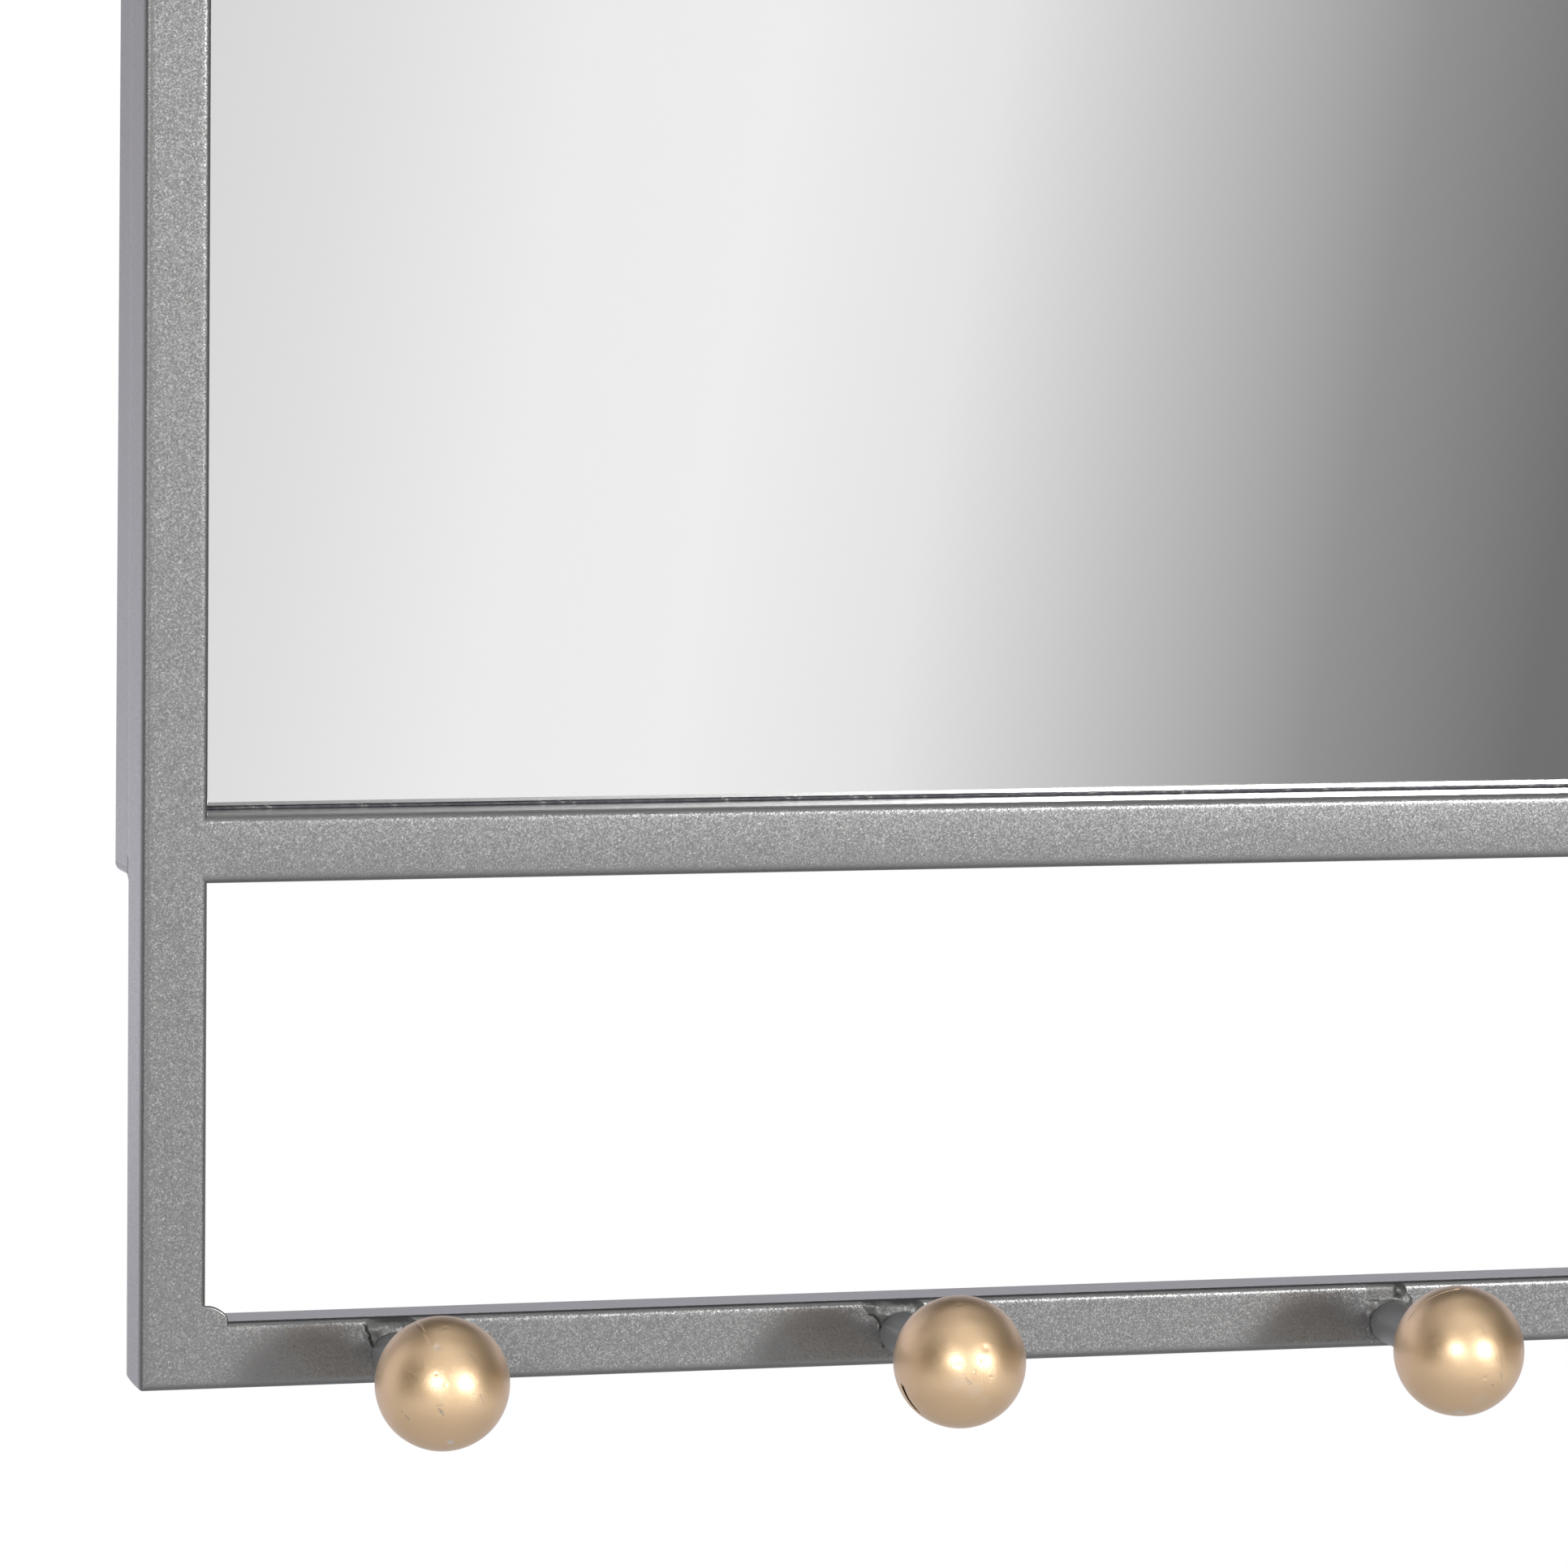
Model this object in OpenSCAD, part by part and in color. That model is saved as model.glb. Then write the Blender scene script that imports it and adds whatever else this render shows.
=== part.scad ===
// Wall mirror with ball hooks: a welded square-tube frame, a second tube frame
// behind the mirror part of it, a recessed glass and ball-ended pegs along the
// bottom rail. Millimetres, +Z up, -Y towards the room, the wall at y = 0.
// The origin is on the wall, midway between the two hanger rings' hinges.

/* [Frame] */
// Overall width of the frame
frame_w = 596; // [540:1:760]
// Overall height of the frame
frame_h = 810; // [620:1:1000]
// Side of the square tube that both frames are made of
tube = 19; // [17:0.5:25]
// Wall thickness of the tube
tube_wall = 1.2; // [0.8:0.1:2]
// Outside corner radius of the tube
tube_r = 1.4; // [1:0.1:2.2]
// Clear height of the open gap above the hook rail
hook_gap = 123.5; // [90:0.5:180]

/* [Mirror] */
// Depth of the glass's face behind the frame's front face
glass_recess = 19; // [15:0.5:20]
// Thickness of the silvered glass
glass_t = 4; // [3:0.5:6]
// Gap between the glass's edge and the tubes round it
glass_gap = 0.5; // [0.3:0.1:1.5]
// Thickness of the foam tape that holds the glass to its board
tape_t = 1; // [0.8:0.1:2]
// Width of one strip of that tape
tape_w = 25; // [15:1:40]
// Distance from the ends of the strips to the board's edge
tape_end = 30; // [10:1:80]
// Thickness of the backing board
board_t = 9; // [8:0.5:12]
// Gap between the board's edge and the tubes round it
board_gap = 1; // [0.5:0.1:2]

/* [Board fixing] */
// Length of a welded tab along its tube
tab_len = 24; // [16:1:40]
// Reach of a tab over the board
tab_reach = 18; // [14:1:26]
// Thickness of a tab
tab_t = 2; // [1.5:0.1:3]
// Distance from a corner of the opening to the middle of the nearest tab
tab_corner = 90; // [50:1:150]
// Length of a board screw under its head
board_screw_len = 9; // [6:0.5:10]

/* [Screws] */
// Shank diameter of every screw
screw_d = 3.5; // [3:0.1:4]
// Head diameter of every screw
screw_head_d = 6.6; // [5.5:0.1:7]
// Head height of every screw
screw_head_h = 2.2; // [1.6:0.1:2.6]
// Width of the arms of the cross recess
recess_w = 0.9; // [0.6:0.1:1.2]
// Depth of the cross recess
recess_depth = 1.1; // [0.6:0.1:1.4]
// Radial clearance between a shank and its hole
screw_fit = 0.1; // [0.05:0.05:0.3]

/* [Hooks] */
// Distance between neighbouring hooks
hook_pitch = 150; // [120:1:165]
// Diameter of a ball
ball_d = 37.5; // [30:0.5:45]
// Wall thickness of the two half shells that make a ball
ball_wall = 1.5; // [1:0.1:2]
// Distance from the rail's face to the middle of a ball
ball_reach = 55; // [45:0.5:80]
// Diameter of a peg
peg_d = 12.6; // [9:0.1:14]
// Length of a peg inside its ball, measured from where their surfaces meet
peg_inside = 4; // [3:0.5:8]
// Radial clearance between a peg and the hole in its ball
peg_fit = 0.1; // [0.05:0.05:0.3]
// Radius of the weld bead round a peg where it enters its ball
ball_weld = 1.6; // [1:0.1:2.5]
// Leg of the weld over a peg's root
peg_weld = 2.4; // [1.5:0.1:3.5]
// Share of a turn that this weld goes round the peg, in degrees
peg_weld_turn = 210; // [120:5:240]

/* [Frame welds] */
// Leg of the weld in each lower corner of the open gap
corner_weld = 4; // [2:0.1:6]
// Leg of the stitch welds between the front and the rear frame
seam_weld = 2.6; // [1.5:0.1:4]
// Length of one stitch weld
seam_weld_len = 14; // [8:1:17]

/* [Hangers] */
// Distance from the frame's top down to the hanger rings' hinges
hang_drop = 120; // [80:1:200]
// Diameter of the ring's wire
ring_wire = 2.8; // [2:0.1:3]
// Clear width inside the ring
ring_inside = 11.2; // [11.2:0.1:12]
// Length of the ring's straight legs
ring_leg = 6; // [5:0.5:12]
// Width of the strap
strap_w = 10; // [8:0.1:10]
// Thickness of the strap's sheet, which lies double
strap_t = 1; // [0.8:0.1:1.2]
// Length of the strap below the hinge
strap_len = 32; // [30:1:60]
// Radial clearance between the ring's bar and the strap's eye
hinge_fit = 0.1; // [0.05:0.05:0.2]
// Distance from the hinge down to the upper screw
upper_screw = 7.2; // [7:0.1:7.4]
// Distance from the hinge down to the lower screw
lower_screw = 23; // [21:0.5:26]
// Length of a hanger screw under its head
hanger_screw_len = 12; // [8:0.5:14]

/* [Wall bumpers] */
// Height of a bumper, which sets the frame off the wall
bumper_h = 6; // [6:0.5:10]
// Diameter of a bumper
bumper_d = 14; // [10:0.5:15]
// Distance from the rear frame's outer corner to a bumper's middle
bumper_corner = 40; // [25:1:80]

/* [Hidden] */
$fn = 64;
hook_count = 4;
// The pegs are welded on by eye: each one's height above the rail's underside
peg_rise = [8.5, 9.3, 7.2, 8.4];

// Depths, from the wall towards the room
rear_back_y = -bumper_h;
seam_y = rear_back_y - tube;
front_y = seam_y - tube;
rear_mid_y = rear_back_y - tube / 2;
front_mid_y = seam_y - tube / 2;
glass_y = front_y + glass_recess;
tape_y = glass_y + glass_t;
board_y = tape_y + tape_t;
tab_y = board_y + board_t;

// Heights
top_z = hang_drop;
bottom_z = top_z - frame_h;
gap_z = bottom_z + tube;
cross_z = gap_z + hook_gap;
opening_z = cross_z + tube;
opening_top_z = top_z - tube;
middle_z = (top_z + bottom_z) / 2;
rear_middle_z = (top_z + cross_z) / 2;

// Sizes that follow
half_w = frame_w / 2;
rear_h = top_z - cross_z;
opening_w = frame_w - 2 * tube;
opening_h = opening_top_z - opening_z;
opening_mid_z = (opening_top_z + opening_z) / 2;
glass_w = opening_w - 2 * glass_gap;
glass_h = opening_h - 2 * glass_gap;
board_w = opening_w - 2 * board_gap;
board_h = opening_h - 2 * board_gap;
ball_r = ball_d / 2;
peg_r = peg_d / 2;
ball_y = front_y - ball_reach;
ball_to_root = sqrt(pow(ball_r, 2) - pow(peg_r, 2));
peg_len = ball_reach - ball_to_root + peg_inside;
tab_sides = [-1, 1];
tab_rows = [opening_z + tab_corner, opening_top_z - tab_corner];
tab_columns = [-1, 1] * (opening_w / 2 - tab_corner);
tab_hole_in = tab_reach / 2;
post_x = half_w - tube / 2;
ring_bend = (ring_inside + ring_wire) / 2;
eye_bore_r = ring_wire / 2 + hinge_fit;
eye_r = eye_bore_r + strap_t;
hinge_y = rear_back_y + eye_r;
strap_back_y = rear_back_y + 2 * strap_t;

function hook_x(i) = (i - (hook_count - 1) / 2) * hook_pitch;
function hook_z(i) = bottom_z + peg_rise[i];

// A square with rounded corners, built from flats and arcs
module rounded_square(side, r) {
  square([side - 2 * r, side], center = true);
  square([side, side - 2 * r], center = true);
  for (x = [-1, 1], y = [-1, 1])
    translate([x, y] * (side / 2 - r))
      circle(r);
}

// Section of the square tube
module tube_section() {
  difference() {
    rounded_square(tube, tube_r);
    rounded_square(tube - 2 * tube_wall, max(tube_r - tube_wall, 0.2));
  }
}

// Square tube along X, centred on the origin
module straight_tube(length) {
  rotate([90, 0, 90])
    linear_extrude(length, center = true)
      tube_section();
}

// Square tube along X with both ends cut at 45 degrees; its outer side is at z = 0
module mitred_tube(length) {
  intersection() {
    translate([0, 0, tube / 2])
      straight_tube(length);
    rotate([90, 0, 0])
      linear_extrude(2 * tube, center = true)
        polygon([
          [-length / 2, 0],
          [length / 2, 0],
          [length / 2 - tube, tube],
          [-length / 2 + tube, tube]
        ]);
  }
}

// An upright mitred tube: side -1 is the left one, +1 the right one
module mitred_upright(side, length) {
  rotate([0, -90 * side, 0])
    mitred_tube(length);
}

// A plate that stands upright, centred in X and Z, with its front at y
module upright_plate(width, thickness, height, y) {
  translate([-width / 2, y, -height / 2])
    cube([width, thickness, height]);
}

// Pan-head screw whose head sits on y = 0 and stands towards +Y
module pan_screw(length) {
  rotate([90, 0, 0])
    cylinder(h = length, d = screw_d);
  difference() {
    rotate([-90, 0, 0])
      cylinder(h = screw_head_h, d = screw_head_d);
    for (a = [0, 90])
      rotate([0, a, 0])
        translate([-screw_head_d / 3, screw_head_h - recess_depth, -recess_w / 2])
          cube([screw_head_d / 1.5, 2 * recess_depth, recess_w]);
  }
}

// Clearance hole for a screw, through everything between two depths
module screw_hole(from_y, to_y) {
  translate([0, from_y, 0])
    rotate([-90, 0, 0])
      cylinder(h = to_y - from_y, d = screw_d + 2 * screw_fit);
}

// Every place where a tab holds the board: its children are drawn in the tab's
// own frame, with the tube's inner face at x = 0 and the tab reaching to +X
module at_tabs() {
  for (s = tab_sides, z = tab_rows)
    translate([s * opening_w / 2, 0, z])
      rotate([0, s < 0 ? 0 : 180, 0])
        children();
  for (x = tab_columns, s = tab_sides)
    translate([x, 0, opening_mid_z + s * opening_h / 2])
      rotate([0, s < 0 ? -90 : 90, 0])
        children();
}

// Every place of a hanger screw, on the strap's face
module at_hanger_screws(side) {
  for (drop = [upper_screw, lower_screw])
    translate([side * post_x, strap_back_y, -drop])
      children();
}

module left_stile() {
  color("#8f9090")
    translate([-half_w, front_mid_y, middle_z])
      mitred_upright(-1, frame_h);
}

module right_stile() {
  color("#8f9090")
    translate([half_w, front_mid_y, middle_z])
      mitred_upright(1, frame_h);
}

module top_rail() {
  color("#8f9090")
    translate([0, front_mid_y, top_z])
      rotate([180, 0, 0])
        mitred_tube(frame_w);
}

module bottom_rail() {
  color("#8f9090")
    translate([0, front_mid_y, bottom_z])
      mitred_tube(frame_w);
}

module cross_rail() {
  color("#8f9090")
    translate([0, front_mid_y, cross_z + tube / 2])
      straight_tube(opening_w);
}

// A rear post has the holes of its hanger's two screws
module rear_post(side) {
  color("#87868a")
    difference() {
      translate([side * half_w, rear_mid_y, rear_middle_z])
        mitred_upright(side, rear_h);
      at_hanger_screws(side)
        screw_hole(-2 * strap_t - 2 * tube_wall, 0);
    }
}

module rear_left_post() {
  rear_post(-1);
}

module rear_right_post() {
  rear_post(1);
}

module rear_top_rail() {
  color("#87868a")
    translate([0, rear_mid_y, top_z])
      rotate([180, 0, 0])
        mitred_tube(frame_w);
}

module rear_bottom_rail() {
  color("#87868a")
    translate([0, rear_mid_y, cross_z])
      mitred_tube(frame_w);
}

// A bulging weld in each lower corner of the open gap, as deep as the tube's flat
module corner_welds() {
  color("#808182")
    for (side = [-1, 1])
      translate([side * opening_w / 2, front_mid_y, gap_z])
        rotate([90, 0, 0])
          linear_extrude(tube - 2 * tube_r, center = true)
            intersection() {
              circle(corner_weld);
              translate([side < 0 ? 0 : -corner_weld, 0])
                square(corner_weld);
            }
}

// Stitch welds under the rear frame, in the corner with the back of each stile
module seam_welds() {
  color("#808182")
    for (side = [-1, 1])
      translate([side * post_x, seam_y, cross_z])
        rotate([0, 90, 0])
          linear_extrude(seam_weld_len, center = true)
            polygon([[0, 0], [seam_weld, 0], [0, seam_weld]]);
}

module mirror_glass() {
  color("#dfe3e4")
    translate([0, 0, opening_mid_z])
      upright_plate(glass_w, glass_t, glass_h, glass_y);
}

// Three strips of double-sided foam tape between the glass and its board
module mirror_tape() {
  color("#3a3a3c")
    for (i = [-1, 0, 1])
      translate([i * (board_w / 2 - tape_end - tape_w / 2), 0, opening_mid_z])
        upright_plate(tape_w, tape_t, board_h - 2 * tape_end, tape_y);
}

module back_board() {
  color("#8a6a48")
    difference() {
      translate([0, 0, opening_mid_z])
        upright_plate(board_w, board_t, board_h, board_y);
      at_tabs()
        translate([tab_hole_in, 0, 0])
          screw_hole(tab_y + tab_t - board_screw_len, tab_y + tab_t);
    }
}

// Drilled steel tabs, welded to the rear tubes behind the board
module board_tabs() {
  color("#808182")
    at_tabs()
      difference() {
        translate([0, tab_y, -tab_len / 2])
          cube([tab_reach, tab_t, tab_len]);
        translate([tab_hole_in, 0, 0])
          screw_hole(tab_y - tab_t, tab_y + 2 * tab_t);
      }
}

module board_screws() {
  color("#b9bcc0")
    at_tabs()
      translate([tab_hole_in, tab_y + tab_t, 0])
        pan_screw(board_screw_len);
}

// A peg is a plain bar that stands square out of the rail and ends inside its ball
module peg(i) {
  color("#7d7d80")
    translate([hook_x(i), front_y, hook_z(i)])
      rotate([90, 0, 0])
        cylinder(h = peg_len, r = peg_r);
}

module peg_1() {
  peg(0);
}

module peg_2() {
  peg(1);
}

module peg_3() {
  peg(2);
}

module peg_4() {
  peg(3);
}

// A fillet weld over the top of each peg's root
module peg_welds() {
  color("#747476")
    for (i = [0 : hook_count - 1])
      translate([hook_x(i), front_y, hook_z(i)])
        rotate([90, 0, 0])
          rotate([0, 0, 90 - peg_weld_turn / 2])
            rotate_extrude(angle = peg_weld_turn)
              translate([peg_r, 0])
                polygon([[0, 0], [peg_weld, 0], [0, peg_weld]]);
}

// The middle of a ball, with its children's Z axis along the peg, towards the wall
module at_ball(i) {
  translate([hook_x(i), ball_y, hook_z(i)])
    rotate([-90, 0, 0])
      children();
}

// A bead in the corner between each peg and its ball, all the way round
module ball_welds() {
  color("#c9ab80")
    for (i = [0 : hook_count - 1])
      at_ball(i)
        difference() {
          rotate_extrude()
            translate([peg_r, ball_to_root])
              circle(ball_weld);
          sphere(r = ball_r);
          cylinder(h = 2 * ball_r, r = peg_r);
        }
}

// A hollow ball is two pressed half shells, welded along the seam between them.
// Side -1 is the shell towards the room, +1 the one with the peg's hole
module half_shell(i, side) {
  color("#c9ab80")
    at_ball(i)
      difference() {
        sphere(r = ball_r);
        sphere(r = ball_r - ball_wall);
        translate([0, 0, -side * ball_d / 2])
          cube([2 * ball_d, 2 * ball_d, ball_d], center = true);
        cylinder(h = 2 * ball_r, r = peg_r + peg_fit);
      }
}

module ball_1_front() {
  half_shell(0, -1);
}

module ball_1_back() {
  half_shell(0, 1);
}

module ball_2_front() {
  half_shell(1, -1);
}

module ball_2_back() {
  half_shell(1, 1);
}

module ball_3_front() {
  half_shell(2, -1);
}

module ball_3_back() {
  half_shell(2, 1);
}

module ball_4_front() {
  half_shell(3, -1);
}

module ball_4_back() {
  half_shell(3, 1);
}

// The strap is one sheet folded round the ring's bar: an eye and a double leaf
module hanger(side) {
  color("#b9bcc0")
    difference() {
      translate([side * post_x, 0, 0]) {
        translate([-strap_w / 2, rear_back_y, -strap_len])
          cube([strap_w, 2 * strap_t, strap_len]);
        translate([0, hinge_y, 0])
          rotate([0, 90, 0])
            cylinder(h = strap_w, r = eye_r, center = true);
      }
      translate([side * post_x, hinge_y, 0])
        rotate([0, 90, 0])
          cylinder(h = 2 * strap_w, r = eye_bore_r, center = true);
      at_hanger_screws(side)
        screw_hole(-4 * strap_t, 2 * strap_t);
    }
}

module hanger_left() {
  hanger(-1);
}

module hanger_right() {
  hanger(1);
}

// A D-shaped ring: a straight bar in the strap's eye, two legs and a half-round end
module ring(side) {
  color("#b9bcc0")
    translate([side * post_x, hinge_y, 0]) {
      rotate([0, 90, 0])
        cylinder(h = 2 * ring_bend, d = ring_wire, center = true);
      for (x = [-1, 1])
        translate([x * ring_bend, 0, 0]) {
          sphere(d = ring_wire);
          cylinder(h = ring_leg, d = ring_wire);
        }
      translate([0, 0, ring_leg])
        rotate([90, 0, 0])
          rotate_extrude(angle = 180)
            translate([ring_bend, 0])
              circle(d = ring_wire);
    }
}

module ring_left() {
  ring(-1);
}

module ring_right() {
  ring(1);
}

module hanger_screws() {
  color("#b9bcc0")
    for (side = [-1, 1])
      at_hanger_screws(side)
        pan_screw(hanger_screw_len);
}

module wall_bumpers() {
  color("#2b2b2d")
    for (x = [-post_x, post_x], z = [cross_z + bumper_corner, top_z - bumper_corner])
      translate([x, rear_back_y, z])
        rotate([-90, 0, 0])
          cylinder(h = bumper_h, d = bumper_d);
}

left_stile();
right_stile();
top_rail();
cross_rail();
bottom_rail();
rear_left_post();
rear_right_post();
rear_top_rail();
rear_bottom_rail();
corner_welds();
seam_welds();
mirror_glass();
mirror_tape();
back_board();
board_tabs();
board_screws();
peg_1();
peg_2();
peg_3();
peg_4();
peg_welds();
ball_welds();
ball_1_front();
ball_1_back();
ball_2_front();
ball_2_back();
ball_3_front();
ball_3_back();
ball_4_front();
ball_4_back();
hanger_left();
hanger_right();
ring_left();
ring_right();
hanger_screws();
wall_bumpers();
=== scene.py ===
# %% [markdown]
# # A wall mirror with ball hooks
# The mirror is a welded frame of square steel tube, sprayed with a pewter paint full of
# metal flakes. A second tube frame sits behind its upper part and holds the glass. Along
# the bottom rail stand round pegs that end in hollow gold balls.
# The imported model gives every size. It is loaded first and nothing in it is moved, so
# each new surface below can take its place from the box of the node that it stands for.

import math

import bpy
import numpy as np
from mathutils import Matrix, Vector


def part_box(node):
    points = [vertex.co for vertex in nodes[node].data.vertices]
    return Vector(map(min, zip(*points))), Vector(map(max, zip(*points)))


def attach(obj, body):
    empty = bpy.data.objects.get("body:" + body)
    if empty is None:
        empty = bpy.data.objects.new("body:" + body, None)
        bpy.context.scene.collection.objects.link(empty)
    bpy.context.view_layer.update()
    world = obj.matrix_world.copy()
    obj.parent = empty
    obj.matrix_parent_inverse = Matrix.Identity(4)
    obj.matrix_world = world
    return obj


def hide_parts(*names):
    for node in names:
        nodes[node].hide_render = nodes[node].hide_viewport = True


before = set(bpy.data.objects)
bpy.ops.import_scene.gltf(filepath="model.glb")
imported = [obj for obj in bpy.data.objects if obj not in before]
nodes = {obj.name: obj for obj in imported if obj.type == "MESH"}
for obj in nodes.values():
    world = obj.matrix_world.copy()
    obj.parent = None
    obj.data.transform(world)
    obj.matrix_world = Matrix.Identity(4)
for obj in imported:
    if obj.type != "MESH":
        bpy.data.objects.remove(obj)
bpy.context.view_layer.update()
MM = 0.001
HOOKS = (1, 2, 3, 4)

# %% Read the main places from the nodes' boxes
stile_low, stile_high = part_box("left_stile")
TUBE = stile_high.x - stile_low.x
LEFT = stile_low.x
BOTTOM, TOP = stile_low.z, stile_high.z
WIDTH, HEIGHT = -2 * LEFT, TOP - BOTTOM
FRONT, SEAM = stile_low.y, stile_high.y
CROSS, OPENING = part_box("cross_rail")[0].z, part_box("cross_rail")[1].z
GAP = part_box("bottom_rail")[1].z
OPENING_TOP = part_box("top_rail")[0].z
print("tube", round(TUBE, 4), "front", FRONT, "seam", SEAM, "cross rail", CROSS, OPENING)

# %% [markdown]
# ## The camera
# A long lens from far away keeps upright lines almost upright, as in a catalogue
# picture. The place and the turns below were worked out once, by fitting the drawn tube
# edges and the balls' outlines to the picture, so they are plain numbers here.

# %% Place the camera
CAMERA_PLACE = Vector((-0.8199, -2.3837, -0.3037))
CAMERA_AZIMUTH, CAMERA_RISE, CAMERA_ROLL = (math.radians(a) for a in (-16.84, 5.105, 0.611))
LENS_MM = 198.36

back = Vector((math.sin(CAMERA_AZIMUTH) * math.cos(CAMERA_RISE),
               -math.cos(CAMERA_AZIMUTH) * math.cos(CAMERA_RISE), math.sin(CAMERA_RISE)))
right = Vector((math.cos(CAMERA_AZIMUTH), math.sin(CAMERA_AZIMUTH), 0))
up = back.cross(right)
rolled_right = math.cos(CAMERA_ROLL) * right + math.sin(CAMERA_ROLL) * up
rolled_up = -math.sin(CAMERA_ROLL) * right + math.cos(CAMERA_ROLL) * up

lens = bpy.data.cameras.new("camera")
lens.sensor_width = 36
lens.lens = LENS_MM
lens.clip_start, lens.clip_end = 0.05, 60
camera = bpy.data.objects.new("camera", lens)
bpy.context.scene.collection.objects.link(camera)
axes = Matrix((rolled_right, rolled_up, back)).transposed()
camera.matrix_world = Matrix.Translation(CAMERA_PLACE) @ axes.to_4x4()
bpy.context.scene.camera = camera
bpy.context.scene.view_settings.view_transform = "Standard"
print("camera looks along", [round(v, 3) for v in -back])

# %% [markdown]
# ## Node helpers
# A material is a small graph of nodes. These helpers keep the graphs short to write: one
# makes a node and sets its inputs, the others do one sum or one colour ramp.

# %% Make and join nodes
def add_node(tree, kind, settings=None, **inputs):
    """A node of that kind. Settings are its options. Each input is a number or another
    node's socket, and is called by its name, or i and its place where names repeat."""
    made = tree.nodes.new(kind)
    for option, value in (settings or {}).items():
        setattr(made, option, value)
    for socket_name, value in inputs.items():
        socket = made.inputs[int(socket_name[1:]) if socket_name[1:].isdigit()
                             else socket_name.replace("_", " ")]
        if isinstance(value, bpy.types.NodeSocket):
            tree.links.new(value, socket)
        else:
            socket.default_value = value
    return made


def sum_of(tree, operation, a, b=0.0, c=0.0):
    """One step of arithmetic on two or three numbers."""
    return add_node(tree, "ShaderNodeMath", {"operation": operation}, i0=a, i1=b, i2=c).outputs[0]


def vector_of(tree, operation, a, b=(0, 0, 0)):
    """One step of arithmetic on two vectors."""
    return add_node(tree, "ShaderNodeVectorMath", {"operation": operation}, i0=a, i1=b).outputs[0]


def scaled(tree, vector, factor):
    """A vector times a number."""
    made = add_node(tree, "ShaderNodeVectorMath", {"operation": "SCALE"}, i0=vector)
    made.inputs["Scale"].default_value = factor
    return made.outputs[0]


def ramp(tree, value, stops):
    """A colour for each value from 0 to 1; stops are (place, grey or colour)."""
    made = add_node(tree, "ShaderNodeValToRGB", i0=value)
    band = made.color_ramp
    while len(band.elements) > 1:
        band.elements.remove(band.elements[-1])
    for number, (place, shade) in enumerate(stops):
        element = band.elements[0] if number == 0 else band.elements.new(place)
        element.position = place
        colour = (shade,) * 3 if isinstance(shade, (int, float)) else tuple(shade)
        element.color = (*colour, 1)
    return made.outputs[0]


def new_material(name, metallic=0.0, roughness=0.5, colour=(0.5, 0.5, 0.5), **more):
    """A material with one Principled shader, whose plain values sit on its own sockets."""
    material = bpy.data.materials.new(name)
    material.use_nodes = True
    tree = material.node_tree
    shader = tree.nodes["Principled BSDF"]
    shader.inputs["Base Color"].default_value = (*colour, 1)
    shader.inputs["Metallic"].default_value = metallic
    shader.inputs["Roughness"].default_value = roughness
    for socket_name, value in more.items():
        shader.inputs[socket_name.replace("_", " ")].default_value = value
    place = add_node(tree, "ShaderNodeTexCoord").outputs["Object"]
    return material, tree, shader, place


# %% [markdown]
# ## The studio
# The picture was taken against pure white, with one soft light at the right, a smaller
# one at the left and a dim room round them, which is what the glass and the balls show.
# The room is a World shader that depends on direction alone: one ramp goes round it and
# others go up it, for the room in front, the table below, the pale ceiling and what lies
# behind. Two glows are added: one at the far left, which the stile's side shows, and one
# round the right light, which the ledge under the glass shows. What the camera sees of the
# room directly is white. The two lights are real area lights that the camera can't see,
# each with a smaller and brighter core, as a soft box has. The core makes the white spot
# in each highlight on a ball, and the wide part makes the gold round it.

# %% Measure each direction by its azimuth and its height
world = bpy.data.worlds.new("studio")
bpy.context.scene.world = world
world.use_nodes = True
sky = world.node_tree
sky.nodes.clear()
direction = add_node(sky, "ShaderNodeTexCoord").outputs["Generated"]
parts = add_node(sky, "ShaderNodeSeparateXYZ", i0=direction)
toward_room = sum_of(sky, "MULTIPLY", parts.outputs["Y"], -1.0)
azimuth = sum_of(sky, "ARCTAN2", parts.outputs["X"], toward_room)
rise = sum_of(sky, "ARCSINE", parts.outputs["Z"])
TURN = 2 * math.pi
azimuth_share = sum_of(sky, "MULTIPLY_ADD", azimuth, 1 / TURN, 0.5)
LEAN_OF_LIGHT = -0.16
slanted = sum_of(sky, "MULTIPLY_ADD", rise, LEAN_OF_LIGHT, azimuth)
slanted_share = sum_of(sky, "MULTIPLY_ADD", slanted, 1 / TURN, 0.5)
rise_share = sum_of(sky, "MULTIPLY_ADD", rise, 1 / math.pi, 0.5)
print("a direction is measured with", len(sky.nodes), "nodes")


# %% Draw the room as ramps
def round_ramp(stops, share=azimuth_share):
    """Light round the horizon; stops are (degrees from straight in front to the right, light).
    Place on the ramp = degrees / 360 + 0.5."""
    return ramp(sky, share, [(degrees / 360 + 0.5, light) for degrees, light in stops])


def rise_ramp(stops):
    """Light up the sky; stops are (degrees over the horizon, light). Place on the ramp =
    degrees / 180 + 0.5."""
    return ramp(sky, rise_share, [(degrees / 180 + 0.5, light) for degrees, light in stops])


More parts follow.
